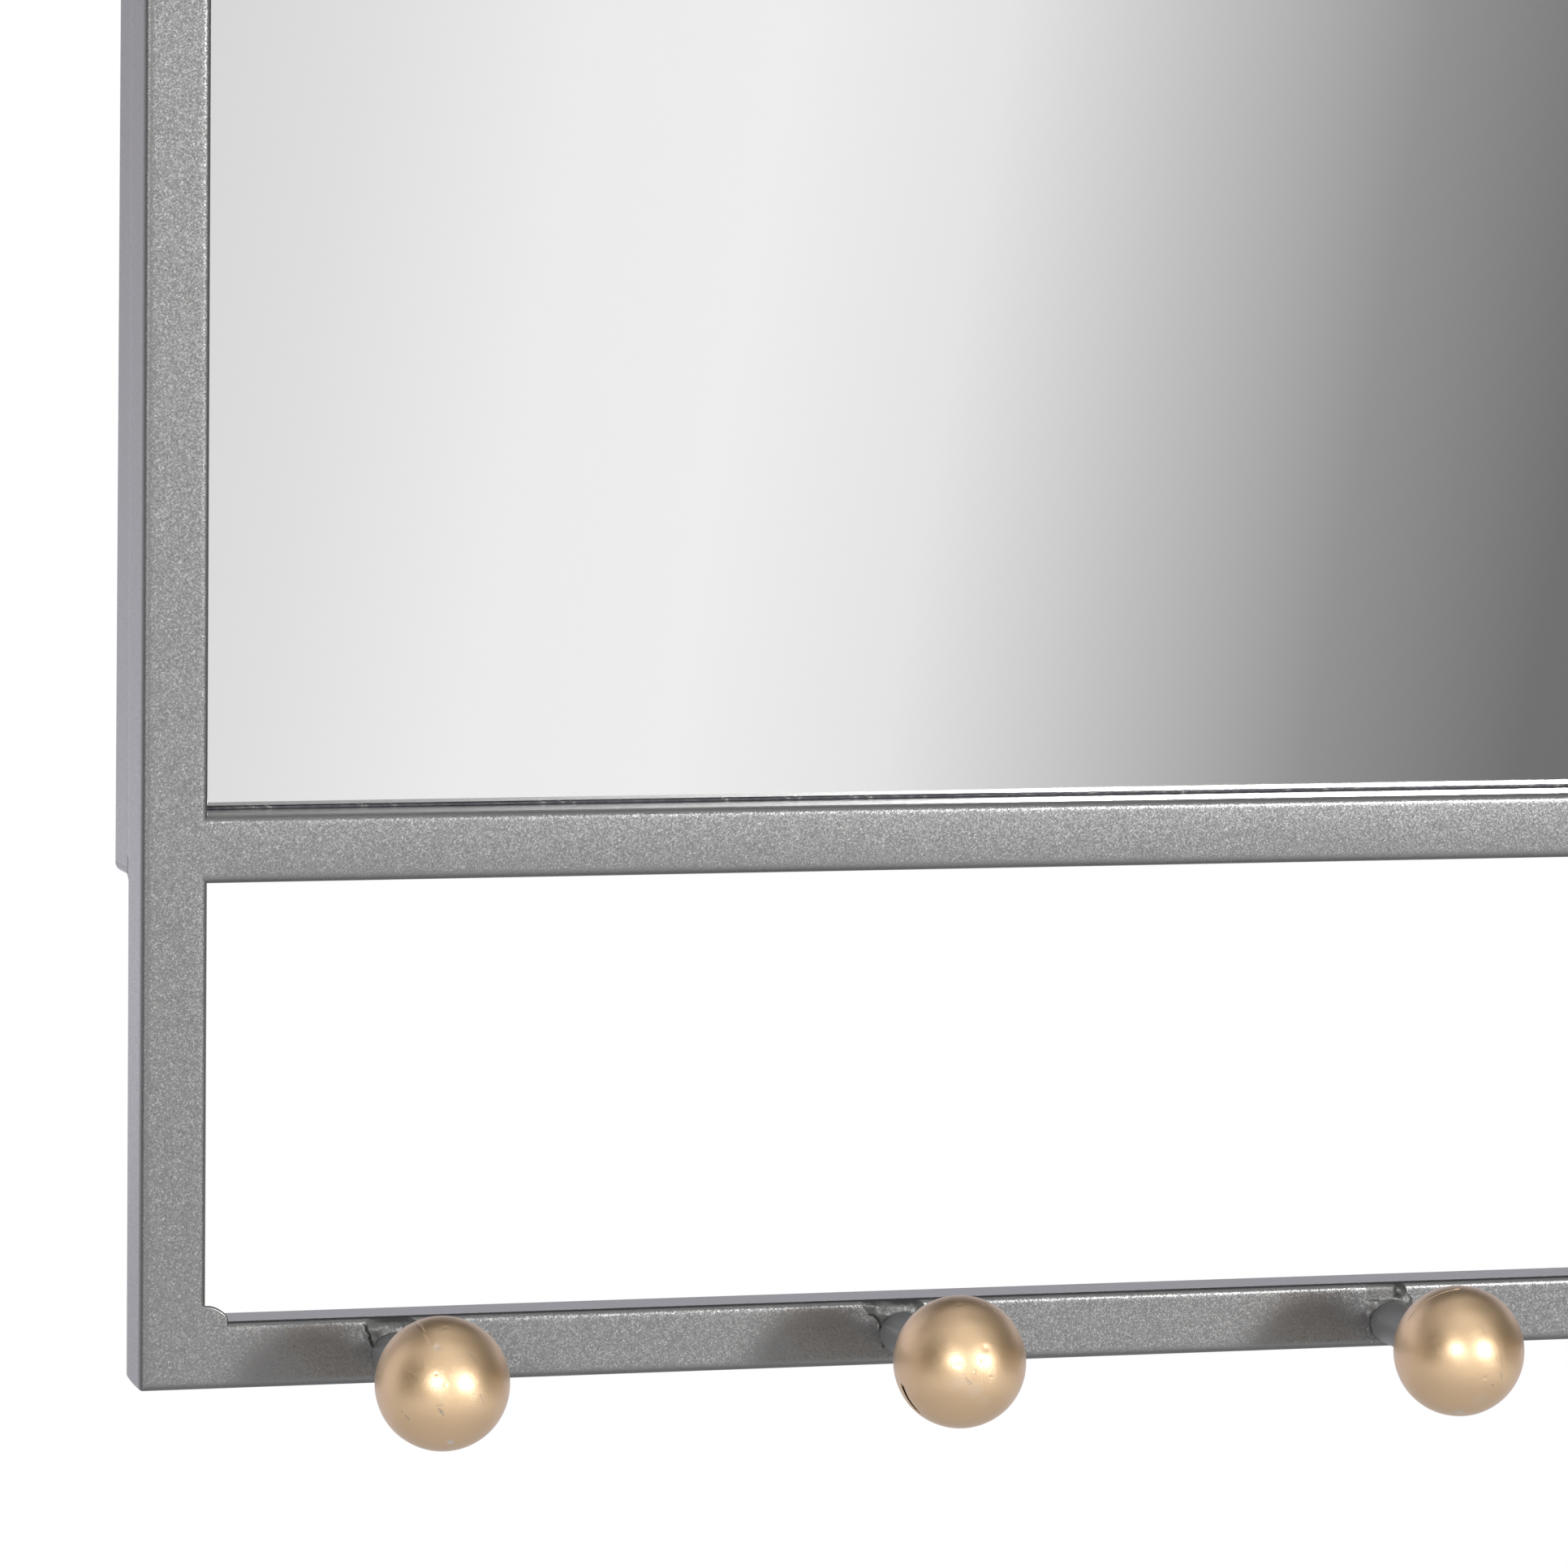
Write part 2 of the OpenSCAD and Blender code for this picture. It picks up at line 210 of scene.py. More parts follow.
room_round = round_ramp([
    (-120, 0.16), (-75, 0.22), (-55, 0.30), (-38, 0.42), (-20, 0.52), (0, 0.62), (13, 0.72),
    (15, 0.865), (15.7, 0.92), (17.8, 0.925), (19, 0.71), (20, 0.50), (21, 0.325), (22, 0.207),
    (22.8, 0.165), (25, 0.14), (45, 0.25), (80, 0.30), (110, 0.30)], slanted_share)
front_low = rise_ramp([
    (-16, 0.0), (-9, 1.0), (0.5, 1.0), (5, 0.42), (12, 0.30), (38, 0.35), (60, 0.05)])
table = rise_ramp([(-90, 0.55), (-60, 0.62), (-16, 0.66), (-9, 0.0)])
table_round = round_ramp([(-110, 0.9), (-20, 1.45), (40, 1.45), (110, 0.9)])
overhead = rise_ramp([(28, 0.0), (44, 0.72), (60, 0.95), (90, 0.90)])
overhead_round = round_ramp([
    (-120, 0.40), (-55, 0.75), (-15, 1.0), (35, 1.0), (80, 0.30), (120, 0.12)])
behind = rise_ramp([
    (-90, 0.55), (-40, 0.62), (-12, 0.62), (-8.4, 0.68), (-6.6, 1.0), (-4.6, 0.76), (-1, 0.60),
    (4, 0.45), (10, 0.53), (13, 0.85), (16, 0.82), (22, 0.35), (30, 0.06), (66, 0.05),
    (84, 0.60), (90, 0.85)])
left_glow_round = round_ramp([(-172, 0.0), (-150, 1.0), (-100, 1.0), (-84, 0.0)])
left_glow_high = rise_ramp([(-20, 0.0), (-8, 0.8), (40, 0.8), (54, 0.2), (70, 0.0)])
key_glow_round = round_ramp([
    (12, 0.0), (13, 0.02), (14.2, 0.08), (15.5, 0.17), (16.8, 0.33), (18, 0.57), (19.3, 0.83),
    (25, 1.0), (31, 0.83), (35, 0.3), (40, 0.0)])
key_glow_high = rise_ramp([(1.5, 0.0), (4.2, 0.8), (5.4, 1.0), (13, 1.0), (17, 0.0)])
print("ramps:", sum(node.type == "VALTORGB" for node in sky.nodes))

# %% Add the ramps up and hide the room from the camera
KEY_GLOW = 3.0
BEHIND_FROM, BEHIND_TO = math.radians(100), math.radians(122)
room_light = sum_of(sky, "MULTIPLY", room_round, front_low)
low_light = sum_of(sky, "MULTIPLY_ADD", table, table_round, room_light)
front_light = sum_of(sky, "MULTIPLY_ADD", overhead, overhead_round, low_light)
turned_away = sum_of(sky, "ABSOLUTE", azimuth)
is_behind = add_node(
    sky, "ShaderNodeMapRange", {"interpolation_type": "SMOOTHSTEP"}, Value=turned_away,
    From_Min=BEHIND_FROM, From_Max=BEHIND_TO).outputs[0]
round_level = add_node(
    sky, "ShaderNodeMix", {"data_type": "FLOAT"}, i0=is_behind, i2=front_light,
    i3=behind).outputs[0]
left_glow = sum_of(sky, "MULTIPLY", left_glow_round, left_glow_high)
key_shape = sum_of(sky, "MULTIPLY", key_glow_round, key_glow_high)
key_glow = sum_of(sky, "MULTIPLY", key_shape, KEY_GLOW)
level = sum_of(sky, "ADD", sum_of(sky, "MAXIMUM", round_level, left_glow), key_glow)
VIOLET_BEHIND = (0.985, 0.965, 1.05, 1)
tint = add_node(sky, "ShaderNodeMix", {"data_type": "RGBA"}, i0=is_behind, i6=(1, 1, 1, 1),
                i7=VIOLET_BEHIND).outputs[2]
studio_light = add_node(sky, "ShaderNodeBackground", i0=tint, i1=level)
white = add_node(sky, "ShaderNodeBackground", i0=(1, 1, 1, 1), i1=1.0)
seen = add_node(sky, "ShaderNodeLightPath").outputs["Is Camera Ray"]
mixed = add_node(sky, "ShaderNodeMixShader", i0=seen, i1=studio_light.outputs[0],
                 i2=white.outputs[0])
add_node(sky, "ShaderNodeOutputWorld", i0=mixed.outputs[0])
print("surrounding light:", len(sky.nodes), "nodes")

# %% Hang the two lights, each with its core
REACH_TO_BALLS = 55 * MM
RISE_TO_BALLS = 8 * MM
HOOK_MIDDLE = Vector((0, FRONT - REACH_TO_BALLS, BOTTOM + RISE_TO_BALLS))


def soft_box(name, azimuth_degrees, rise_degrees, distance, width, height, watts):
    """A rectangular area light at that azimuth and height as seen from the row of balls."""
    a, e = math.radians(azimuth_degrees), math.radians(rise_degrees)
    toward = Vector((math.sin(a) * math.cos(e), -math.cos(a) * math.cos(e), math.sin(e)))
    light = bpy.data.lights.new(name, "AREA")
    light.shape = "RECTANGLE"
    light.size, light.size_y = width, height
    light.energy = watts
    lamp = bpy.data.objects.new(name, light)
    bpy.context.scene.collection.objects.link(lamp)
    lamp.location = HOOK_MIDDLE + toward * distance
    lamp.rotation_mode = "QUATERNION"
    lamp.rotation_quaternion = toward.to_track_quat("Z", "Y")
    lamp.visible_camera = False
    return lamp


KEY_AT, SIDE_AT = (25, 9.2), (-25.3, 11.2)
LIGHT_DISTANCE, CORE_DISTANCE = 9.0, 8.9
key_light = soft_box("key_light", *KEY_AT, LIGHT_DISTANCE, 2.05, 1.75, 140)
soft_box("key_core", *KEY_AT, CORE_DISTANCE, 1.1, 1.1, 165)
soft_box("side_light", *SIDE_AT, LIGHT_DISTANCE, 1.7, 1.5, 85)
soft_box("side_core", *SIDE_AT, CORE_DISTANCE, 1.1, 1.0, 150)
print("key light's lowest point", round(key_light.location.z - key_light.data.size_y / 2, 3))

# %% Lay the floor
FLOOR_DROP = 1.08
FLOOR_REACH = 1.6
FLOOR_CORNERS = 96
turns = np.linspace(0, TURN, FLOOR_CORNERS, endpoint=False)
rim = np.stack([FLOOR_REACH * np.cos(turns), FLOOR_REACH * np.sin(turns),
                np.full(FLOOR_CORNERS, BOTTOM - FLOOR_DROP)], axis=1)
floor_mesh = bpy.data.meshes.new("floor")
floor_mesh.from_pydata(rim.tolist(), [], [list(range(FLOOR_CORNERS))])
floor = bpy.data.objects.new("floor", floor_mesh)
bpy.context.scene.collection.objects.link(floor)
floor_paint = new_material("floor_paint", roughness=0.7, colour=(0.86, 0.86, 0.86))[0]
floor_mesh.materials.append(floor_paint)
print("floor", round(BOTTOM - FLOOR_DROP, 3), "m, radius", FLOOR_REACH, "m")

# %% [markdown]
# ## The pewter paint
# The paint is a clear coat over metal flakes about a third of a millimetre wide. Each
# flake lies a little tilted, so it catches the light or misses it. Painting light specks
# would look the same from everywhere. Tilting the normal by a random amount in each cell
# of a Voronoi pattern makes specks that belong to the lights instead, and that also
# vanish on the sides, as they do on the real tubes. Three mixes are made: the flat tubes
# have most flakes, bars and stitches are smoother, and the welds' paint is darker, which
# is painted shade for the shade that lies on them. An attribute from 0 to 1 blackens
# cracks and pinholes: painted shade in those hollows.

# %% Mix the flake paint
FLAKE = 0.34 * MM
SOFT_SHARE, HARD_SHARE, COAT_SHARE = 2.2, 0.6, 0.4
# shares of a flake: the wave that bends the cells' borders, how far, and the soft noise's
WAVER, DRIFT, CLOUD = 0.5, 1.5, 0.8
PEEL_SCALE, PEEL_DEPTH = 900.0, 0.02 * MM
MIDDLE = (0.5, 0.5, 0.5)
# near-black colour of the painted shade in cracks and pinholes
PAINTED_SHADE_COLOUR = (0.004, 0.004, 0.003, 1)


def flake_paint(name, colour, tilt, roughness, speckle, coat=1.0, coat_roughness=0.12,
                metallic=0.85):
    """Metallic paint: normal = geometry's normal + tilt * (flake's vector - 0.5), where the
    flake's vector is a mix of each cell's random one and a soft noise. The coat's normal
    leans less than half as far. Each cell's colour is at most speckle lighter or darker."""
    material, tree, shader, place = new_material(name, metallic, roughness, colour,
                                                 Coat_Weight=coat, Coat_Roughness=coat_roughness)
    waver = add_node(tree, "ShaderNodeTexNoise", Vector=place, Scale=WAVER / FLAKE, Detail=1.0)
    drift = scaled(tree, vector_of(tree, "SUBTRACT", waver.outputs["Color"], MIDDLE),
                   DRIFT * FLAKE)
    cells = add_node(tree, "ShaderNodeTexVoronoi", {"voronoi_dimensions": "3D"},
                     Vector=vector_of(tree, "ADD", place, drift), Scale=1 / FLAKE)
    cloud = add_node(tree, "ShaderNodeTexNoise", Vector=place, Scale=CLOUD / FLAKE, Detail=1.5)
    soft = scaled(tree, vector_of(tree, "SUBTRACT", cloud.outputs["Color"], MIDDLE),
                  SOFT_SHARE * tilt)
    hard = scaled(tree, vector_of(tree, "SUBTRACT", cells.outputs["Color"], MIDDLE),
                  HARD_SHARE * tilt)
    peel_noise = add_node(tree, "ShaderNodeTexNoise", Vector=place, Scale=PEEL_SCALE, Detail=2.0)
    skin = add_node(tree, "ShaderNodeBump", Height=peel_noise.outputs[0], Strength=0.4,
                    Distance=PEEL_DEPTH)
    lean = vector_of(tree, "ADD", soft, hard)
    leaning = vector_of(tree, "ADD", skin.outputs[0], lean)
    tree.links.new(vector_of(tree, "NORMALIZE", leaning), shader.inputs["Normal"])
    coat_leaning = vector_of(tree, "ADD", skin.outputs[0], scaled(tree, lean, COAT_SHARE))
    tree.links.new(vector_of(tree, "NORMALIZE", coat_leaning), shader.inputs["Coat Normal"])
    shade = add_node(tree, "ShaderNodeSeparateColor", i0=cells.outputs["Color"])
    cool, warm = (0.98, 1.0, 1.03), (1.03, 1.0, 0.95)
    tints = ramp(tree, shade.outputs[0], [
        (place_on, [part * factor for part, factor in zip(colour, factors)])
        for place_on, factors in ((0.0, (1 - speckle,) * 3), (0.4, cool), (0.7, warm),
                                  (1.0, (1 + speckle,) * 3))])
    # painted shade: the attribute's share turns the base colour near-black in cracks and pinholes
    painted_shade = add_node(tree, "ShaderNodeAttribute", {"attribute_name": "painted_shade"}).outputs["Fac"]
    shaded_tints = add_node(tree, "ShaderNodeMix", {"data_type": "RGBA"}, i0=painted_shade, i6=tints, i7=PAINTED_SHADE_COLOUR)
    tree.links.new(shaded_tints.outputs[2], shader.inputs["Base Color"])
    return material


pewter = flake_paint("pewter_flake_paint", (0.175, 0.175, 0.176), 0.19, 0.42, 0.08,
                     coat_roughness=0.15)
pewter_smooth = flake_paint("pewter_smooth_paint", (0.30, 0.298, 0.302), 0.06, 0.58, 0.03,
                            coat=0.25, coat_roughness=0.35, metallic=0.6)
# the welds' darker base colour is painted shade, for the shade that lies on them at the pegs' roots
pewter_weld_shaded = flake_paint("pewter_weld_shaded_paint", (0.155, 0.155, 0.152), 0.17, 0.47, 0.08,
                          coat=0.3, coat_roughness=0.3)
print("pewter paints:", pewter.name, pewter_smooth.name, pewter_weld_shaded.name)

# %% [markdown]
# ## The other finishes
# The balls wear a satin gold paint under a glossier clear coat. One gloss gives either a
# sharp highlight or a wide one, and the real balls show both, so the metal is rough and the
# coat less so. A fine grain, drawn out along the way the balls were wiped, sparkles round
# the highlights. Three attributes change the paint from place to place: bare shows metal in
# a file stroke, pale is thin paint, and the third paints the shade inside an open seam black.
# The glass is clear with a silver coat behind it. The parts at the back are plain: pressed
# board, zinc plate, black foam and rubber.

# %% Mix the other finishes
def fine_bump(tree, shader, place, scale, strength, distance, detail=3.0):
    """Small unevenness from a noise, as a bump on the shader's normal."""
    noise = add_node(tree, "ShaderNodeTexNoise", Vector=place, Scale=scale, Detail=detail)
    bump = add_node(tree, "ShaderNodeBump", Height=noise.outputs[0], Strength=strength,
                    Distance=distance)
    tree.links.new(bump.outputs[0], shader.inputs["Normal"])
    return noise.outputs[0]


GOLD = (0.82, 0.52, 0.225)
BARE_METAL = (0.15, 0.15, 0.16, 1)
THIN_PAINT = (0.80, 0.74, 0.70, 1)
# near-black painted shade inside an open seam
SEAM_SHADE_COLOUR = (0.002, 0.002, 0.002, 1)
GRAIN = (0.42 * MM, 0.14 * MM, 0.14 * MM)
WIPED_ALONG = (0.0, math.radians(-38), math.radians(-15))

gold, tree, shader, place = new_material("champagne_gold_paint", 0.95, 0.36, GOLD,
                                         Coat_Weight=1.0, Coat_Roughness=0.31, Coat_IOR=2.7)
turned = add_node(tree, "ShaderNodeMapping", {"vector_type": "TEXTURE"}, Vector=place,
                  Rotation=WIPED_ALONG, Scale=GRAIN)
grain = add_node(tree, "ShaderNodeTexNoise", Vector=turned.outputs[0], Scale=1.0, Detail=2.5)
specks = ramp(tree, grain.outputs[0], [(0.50, 0.0), (0.66, 0.6), (0.8, 1.0)])
grain_bump = add_node(tree, "ShaderNodeBump", Height=specks, Strength=0.8, Distance=0.028 * MM)
tree.links.new(grain_bump.outputs[0], shader.inputs["Normal"])
tree.links.new(grain_bump.outputs[0], shader.inputs["Coat Normal"])
colour_so_far = (*GOLD, 1)
# the last attribute paints the shade inside an open seam black; its share also takes the coat away
for mark, mark_colour in (("bare", BARE_METAL), ("pale", THIN_PAINT), ("seam_shade", SEAM_SHADE_COLOUR)):
    share = add_node(tree, "ShaderNodeAttribute", {"attribute_name": mark}).outputs["Fac"]
    colour_so_far = add_node(tree, "ShaderNodeMix", {"data_type": "RGBA"}, i0=share,
                             i6=colour_so_far, i7=mark_colour).outputs[2]
tree.links.new(colour_so_far, shader.inputs["Base Color"])
tree.links.new(sum_of(tree, "SUBTRACT", 1.0, share), shader.inputs["Coat Weight"])
print(gold.name, "has", len(tree.nodes), "nodes")

# %% Mix the finishes of the glass and of the back
clear_glass = new_material("clear_glass", 0.0, 0.0, (1.0, 1.0, 1.0),
                           Transmission_Weight=1.0, IOR=1.52)[0]
silver = new_material("silver_coat", 1.0, 0.0, (0.93, 0.93, 0.93))[0]
back_paint = new_material("mirror_back_paint", 0.0, 0.6, (0.10, 0.105, 0.11))[0]

board, tree, shader, place = new_material("pressed_board", 0.0, 0.75, (0.28, 0.17, 0.09))
speck = fine_bump(tree, shader, place, 700.0, 0.4, 0.1 * MM)
tree.links.new(ramp(tree, speck, [(0.3, (0.20, 0.12, 0.065)), (0.7, (0.34, 0.21, 0.12))]),
               shader.inputs["Base Color"])

zinc, tree, shader, place = new_material("zinc_plate", 1.0, 0.32, (0.62, 0.63, 0.65))
tone = fine_bump(tree, shader, place, 260.0, 0.15, 0.05 * MM)
tree.links.new(ramp(tree, tone, [(0.3, (0.54, 0.56, 0.60)), (0.7, (0.68, 0.68, 0.66))]),
               shader.inputs["Base Color"])

foam, tree, shader, place = new_material("foam_tape", 0.0, 0.9, (0.04, 0.04, 0.045))
fine_bump(tree, shader, place, 2500.0, 0.6, 0.08 * MM)
rubber, tree, shader, place = new_material("black_rubber", 0.0, 0.62, (0.03, 0.03, 0.032))
fine_bump(tree, shader, place, 1200.0, 0.3, 0.04 * MM)
print("plain finishes:", board.name, zinc.name, foam.name, rubber.name)

# %% [markdown]
# ## Surfaces from grids
# Every new surface is a grid of points: rows and columns, closed where it goes round.
# One function turns such a grid into a mesh and makes its faces point outwards.

# %% Turn a grid of points into a mesh
def grid_cells(rows, columns, wrap_rows, wrap_columns, first=0):
    """Corner numbers of each cell (i, j), (i, j+1), (i+1, j+1), (i+1, j), with i and j
    counted round to the start where the grid wraps."""
    i, j = np.meshgrid(np.arange(rows if wrap_rows else rows - 1),
                       np.arange(columns if wrap_columns else columns - 1), indexing="ij")
    ii, jj = (i + 1) % rows, (j + 1) % columns
    cells = np.stack([i * columns + j, i * columns + jj, ii * columns + jj, ii * columns + j], -1)
    return first + cells.reshape(-1, 4)


def signed_volume(points, cells):
    """A sixth of the sum of a . (b x c) over the triangles; positive when faces point outwards."""
    a, b, c, d = (points[cells[:, k]] for k in range(4))
    return (a * (np.cross(b, c) + np.cross(c, d))).sum() / 6


def make_piece(name, points, cells, material, body="frame", slot=None, stands_for=(), sharp=32):
    """A mesh object at the origin, its faces turned outwards, riding on a body. Edges that
    turn by more than sharp degrees stay crisp; the rest is shaded smooth."""
    if signed_volume(points, cells) < 0:
        cells = cells[:, ::-1]
    faces = [list(dict.fromkeys(cell)) for cell in cells.tolist()]
    mesh = bpy.data.meshes.new(name)
    mesh.from_pydata(points.tolist(), [], faces)
    mesh.polygons.foreach_set("use_smooth", np.ones(len(mesh.polygons), bool))
    mesh.set_sharp_from_angle(angle=math.radians(sharp))
    for one in material if isinstance(material, (list, tuple)) else [material]:
        mesh.materials.append(one)
    mesh.update()
    piece = bpy.data.objects.new(name, mesh)
    bpy.context.scene.collection.objects.link(piece)
    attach(piece, body)
    if stands_for:
        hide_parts(*stands_for)
    print(name, len(mesh.vertices), "points", len(mesh.polygons), "faces")
    return piece


def ring_cells(rows, columns, closed=False):
    """Cells of a stack of rings. Without closed, the first and the last row are single
    points (kept once each), joined to their neighbours by triangles."""
    if closed:
        return grid_cells(rows, columns, True, True)
    body = grid_cells(rows, columns, False, True, first=1)
    turn = np.arange(columns)
    after = (turn + 1) % columns
    last = 1 + rows * columns
    start = np.stack([np.zeros_like(turn), 1 + after, 1 + turn, 1 + turn], -1)
    end_row = last - columns
    end = np.stack([np.full_like(turn, last), end_row + turn, end_row + after, end_row + after], -1)
    return np.concatenate([start, body, end])


SINES = 5
SINES_PEAK = 4.5


def smooth_noise(points, wave, seed, layers=2):
    """Soft unevenness between about -1 and 1: a sum of sines along random directions, each
    layer half as long and half as strong as the one before."""
    source = np.random.default_rng(seed)
    total = np.zeros(points.shape[:-1])
    for layer in range(layers):
        for _ in range(SINES):
            way = source.normal(size=3)
            way /= np.linalg.norm(way)
            total += 0.5 ** layer * np.sin(points @ way * (2 ** layer * TURN / wave)
                                           + source.uniform(0, TURN))
    return total / SINES_PEAK


# %% [markdown]
# ## Square tubes
# A tube is a square with rounded corners carried along a line, with an inside wall too.
# A circle in the corner meets the flat side with a jump in its bend, which the paint's
# gloss shows as a bright line. A superellipse eases into the flat, as drawn tube does.
# At a mitre each line of the tube starts later the further in it lies, so the grid's
# rows shear from the slanted cut to square. The welds over the outer corners were ground
# round, more at the back than at the front, and that is done by pulling the points
# beyond a circle back onto it.

# %% Draw the section of a tube
SHOULDER = 3.4 * MM
CORNER_POWER = 4
CORNER_CROWDING = 0.15
TUBE_WALL = 1.2 * MM
INNER_SHOULDER = 1.6 * MM


def edge_sink(distance):
    """How far a tube's face lies under its plane at a distance from its edge. The corner is
    a superellipse of power 4: sink = S - (S^4 - (S - distance)^4)^(1/4), S = SHOULDER."""
    left_over = np.clip(1 - distance / SHOULDER, 0, 1)
    return SHOULDER * (1 - (1 - left_over ** CORNER_POWER) ** (1 / CORNER_POWER))


def rounded_square(side, radius, flat_steps=7, arc_steps=12):
    """Points round a square from 0 to side. Each corner is a superellipse: radius minus
    radius * cos(turn)^(2 / power) one way and the same with sin the other. The turns crowd
    towards both ends of the corner, where it eases into the flat."""
    turn = np.linspace(0, np.pi / 2, arc_steps + 1)
    turn = turn - CORNER_CROWDING * np.sin(4 * turn)
    arc = np.stack([radius - radius * np.abs(np.cos(turn)) ** (2 / CORNER_POWER),
                    radius - radius * np.abs(np.sin(turn)) ** (2 / CORNER_POWER)], -1)
    straight = np.linspace(radius, side - radius, flat_steps + 1)[1:-1]
    edge = np.concatenate([arc, np.stack([straight, np.zeros_like(straight)], -1)])
    loops = [edge]
    for _ in range(3):
        edge = np.stack([side - edge[:, 1], edge[:, 0]], -1)
        loops.append(edge)
    return np.concatenate(loops)


print("the outside of a tube has", len(rounded_square(TUBE, SHOULDER)), "points round it")

# %% Carry it along a line
FINE_STEP, FINE_REACH = 0.4 * MM, 5 * MM
WIDENING_REACH, WIDENING_STEPS = 40 * MM, 14
COARSE_STEP = 12 * MM


def stations(length):
    """Shares of a length from 0 to 1, in fine steps near both ends and wider ones between."""
    near = np.arange(0, FINE_REACH, FINE_STEP)
    widening = np.geomspace(FINE_REACH, WIDENING_REACH, WIDENING_STEPS)
    steps = max(3, int((length - 2 * WIDENING_REACH) / COARSE_STEP))
    middle = np.linspace(WIDENING_REACH, length - WIDENING_REACH, steps)
    half = np.concatenate([near, widening[:-1]])
    return np.concatenate([half, middle, (length - half)[::-1]]) / length


def tube_points(length, mitred):
    """The grid of a tube in its own axes (along, in, deep): rows run along the outside and
    come back inside; along = in + (length - 2 in) * share where the ends are mitred."""
    outer = rounded_square(TUBE, SHOULDER)
    inner = TUBE_WALL + rounded_square(TUBE - 2 * TUBE_WALL, INNER_SHOULDER)
    share = stations(length)
    rows = []
    for section, shares in ((outer, share), (inner, np.array([1.0, 0.0]))):
        offset = section[:, 0] if mitred else np.zeros(len(section))
        along = offset[None, :] + (length - 2 * offset[None, :]) * shares[:, None]
        rows.append(np.stack([along, np.broadcast_to(section[:, 0], along.shape),
                              np.broadcast_to(section[:, 1], along.shape)], -1))
    return np.concatenate(rows)


print("a stile has", len(stations(HEIGHT)), "rows along it")

# %% Grind, set in and crown the tubes
SET_IN_LOW, SET_IN_MORE, SET_IN_RISE = 0.4 * MM, 0.65 * MM, 0.25
SET_IN_DEPTH = 1.3 * MM
CROWN, CROWN_DEPTH, CROWN_FADE = 0.2 * MM, 5 * MM, 9 * MM


def grind_corner(points, corner_x, corner_z, inward_x, inward_z, radius):
    """Points of the corner square that lie beyond the circle of that radius go back onto it.
    radius is one value per point."""
    across = (points[..., 0] - corner_x) * inward_x
    upward = (points[..., 2] - corner_z) * inward_z
    dx, dz = radius - across, radius - upward
    reach = np.hypot(dx, dz)
    beyond = (dx > 0) & (dz > 0) & (reach > radius)
    pull = np.where(beyond, radius / np.maximum(reach, 1e-9), 1.0)
    points[..., 0] = np.where(beyond, corner_x + inward_x * (radius - dx * pull), points[..., 0])
    points[..., 2] = np.where(beyond, corner_z + inward_z * (radius - dz * pull), points[..., 2])


def grind_frame(points, low_z, front_y, front_radius, back_radius):
    """Grinds the four outer corners of a frame whose lower edge is at low_z and whose face is
    at front_y. The radius grows from front to back with the square of the depth."""
    depth = np.clip((points[..., 1] - front_y) / TUBE, 0, 1)
    radius = front_radius + (back_radius - front_radius) * depth ** 2
    for x, inward_x in ((LEFT, 1), (-LEFT, -1)):
        for z, inward_z in ((low_z, 1), (TOP, -1)):
            grind_corner(points, x, z, inward_x, inward_z, radius)


def set_in(points):
    """The rear frame stands in a little from the front one, more towards its top: 0.4 mm at
    the cross rail and 1.05 mm from 0.25 m above it. The shift fades towards the opening."""
    amount = SET_IN_LOW + SET_IN_MORE * np.clip((points[..., 2] - CROSS) / SET_IN_RISE, 0, 1)
    behind_seam = np.clip((points[..., 1] - SEAM) / SET_IN_DEPTH, 0, 1)
    from_side = WIDTH / 2 - np.abs(points[..., 0])
    amount = amount * behind_seam * np.clip(1 - from_side / TUBE, 0, 1)
    points[..., 0] -= np.sign(points[..., 0]) * amount


def crown(points):
    """The cross rail's front face bulges a little, so its upper half catches more light:
    sink = 0.2 mm * (height from the middle / half the tube)^2, fading at both ends."""
    off_middle = (points[..., 2] - (CROSS + OPENING) / 2) / (TUBE / 2)
    near_front = np.clip(1 - (points[..., 1] - FRONT) / CROWN_DEPTH, 0, 1)
    from_end = (WIDTH / 2 - TUBE - np.abs(points[..., 0])) / CROWN_FADE
    points[..., 1] += CROWN * off_middle ** 2 * near_front * np.clip(from_end, 0, 1)


def make_tube(name, start, along_axis, in_axis, length, mitred, grind):
    """One tube: its own axes are laid along the given directions from a start point. grind
    holds what grind_frame needs, or None for a tube that reaches no outer corner."""
    axes_of_tube = np.array((along_axis, in_axis, (0, 1, 0)), float)
    points = np.array(start) + tube_points(length, mitred) @ axes_of_tube
    if name == "cross_rail":
        crown(points)
    if grind:
        grind_frame(points, *grind)
    if name.startswith("rear"):
        set_in(points)
    rows, columns = points.shape[:2]
    return make_piece(name + "_skin", points.reshape(-1, 3), grid_cells(rows, columns, True, True),
                      pewter, slot="pewter_paint", stands_for=[name])


print("the rear frame stands in by up to", round((SET_IN_LOW + SET_IN_MORE) / MM, 2), "mm")

# %% Make the nine tubes
X, Z = (1, 0, 0), (0, 0, 1)
BACKWARD_X, DOWN = (-1, 0, 0), (0, 0, -1)
front_grind = (BOTTOM, FRONT, 1.3 * MM, 3.6 * MM)
rear_grind = (CROSS, SEAM, 3.6 * MM, 3.8 * MM)
INTO_STILE = 2.4 * MM

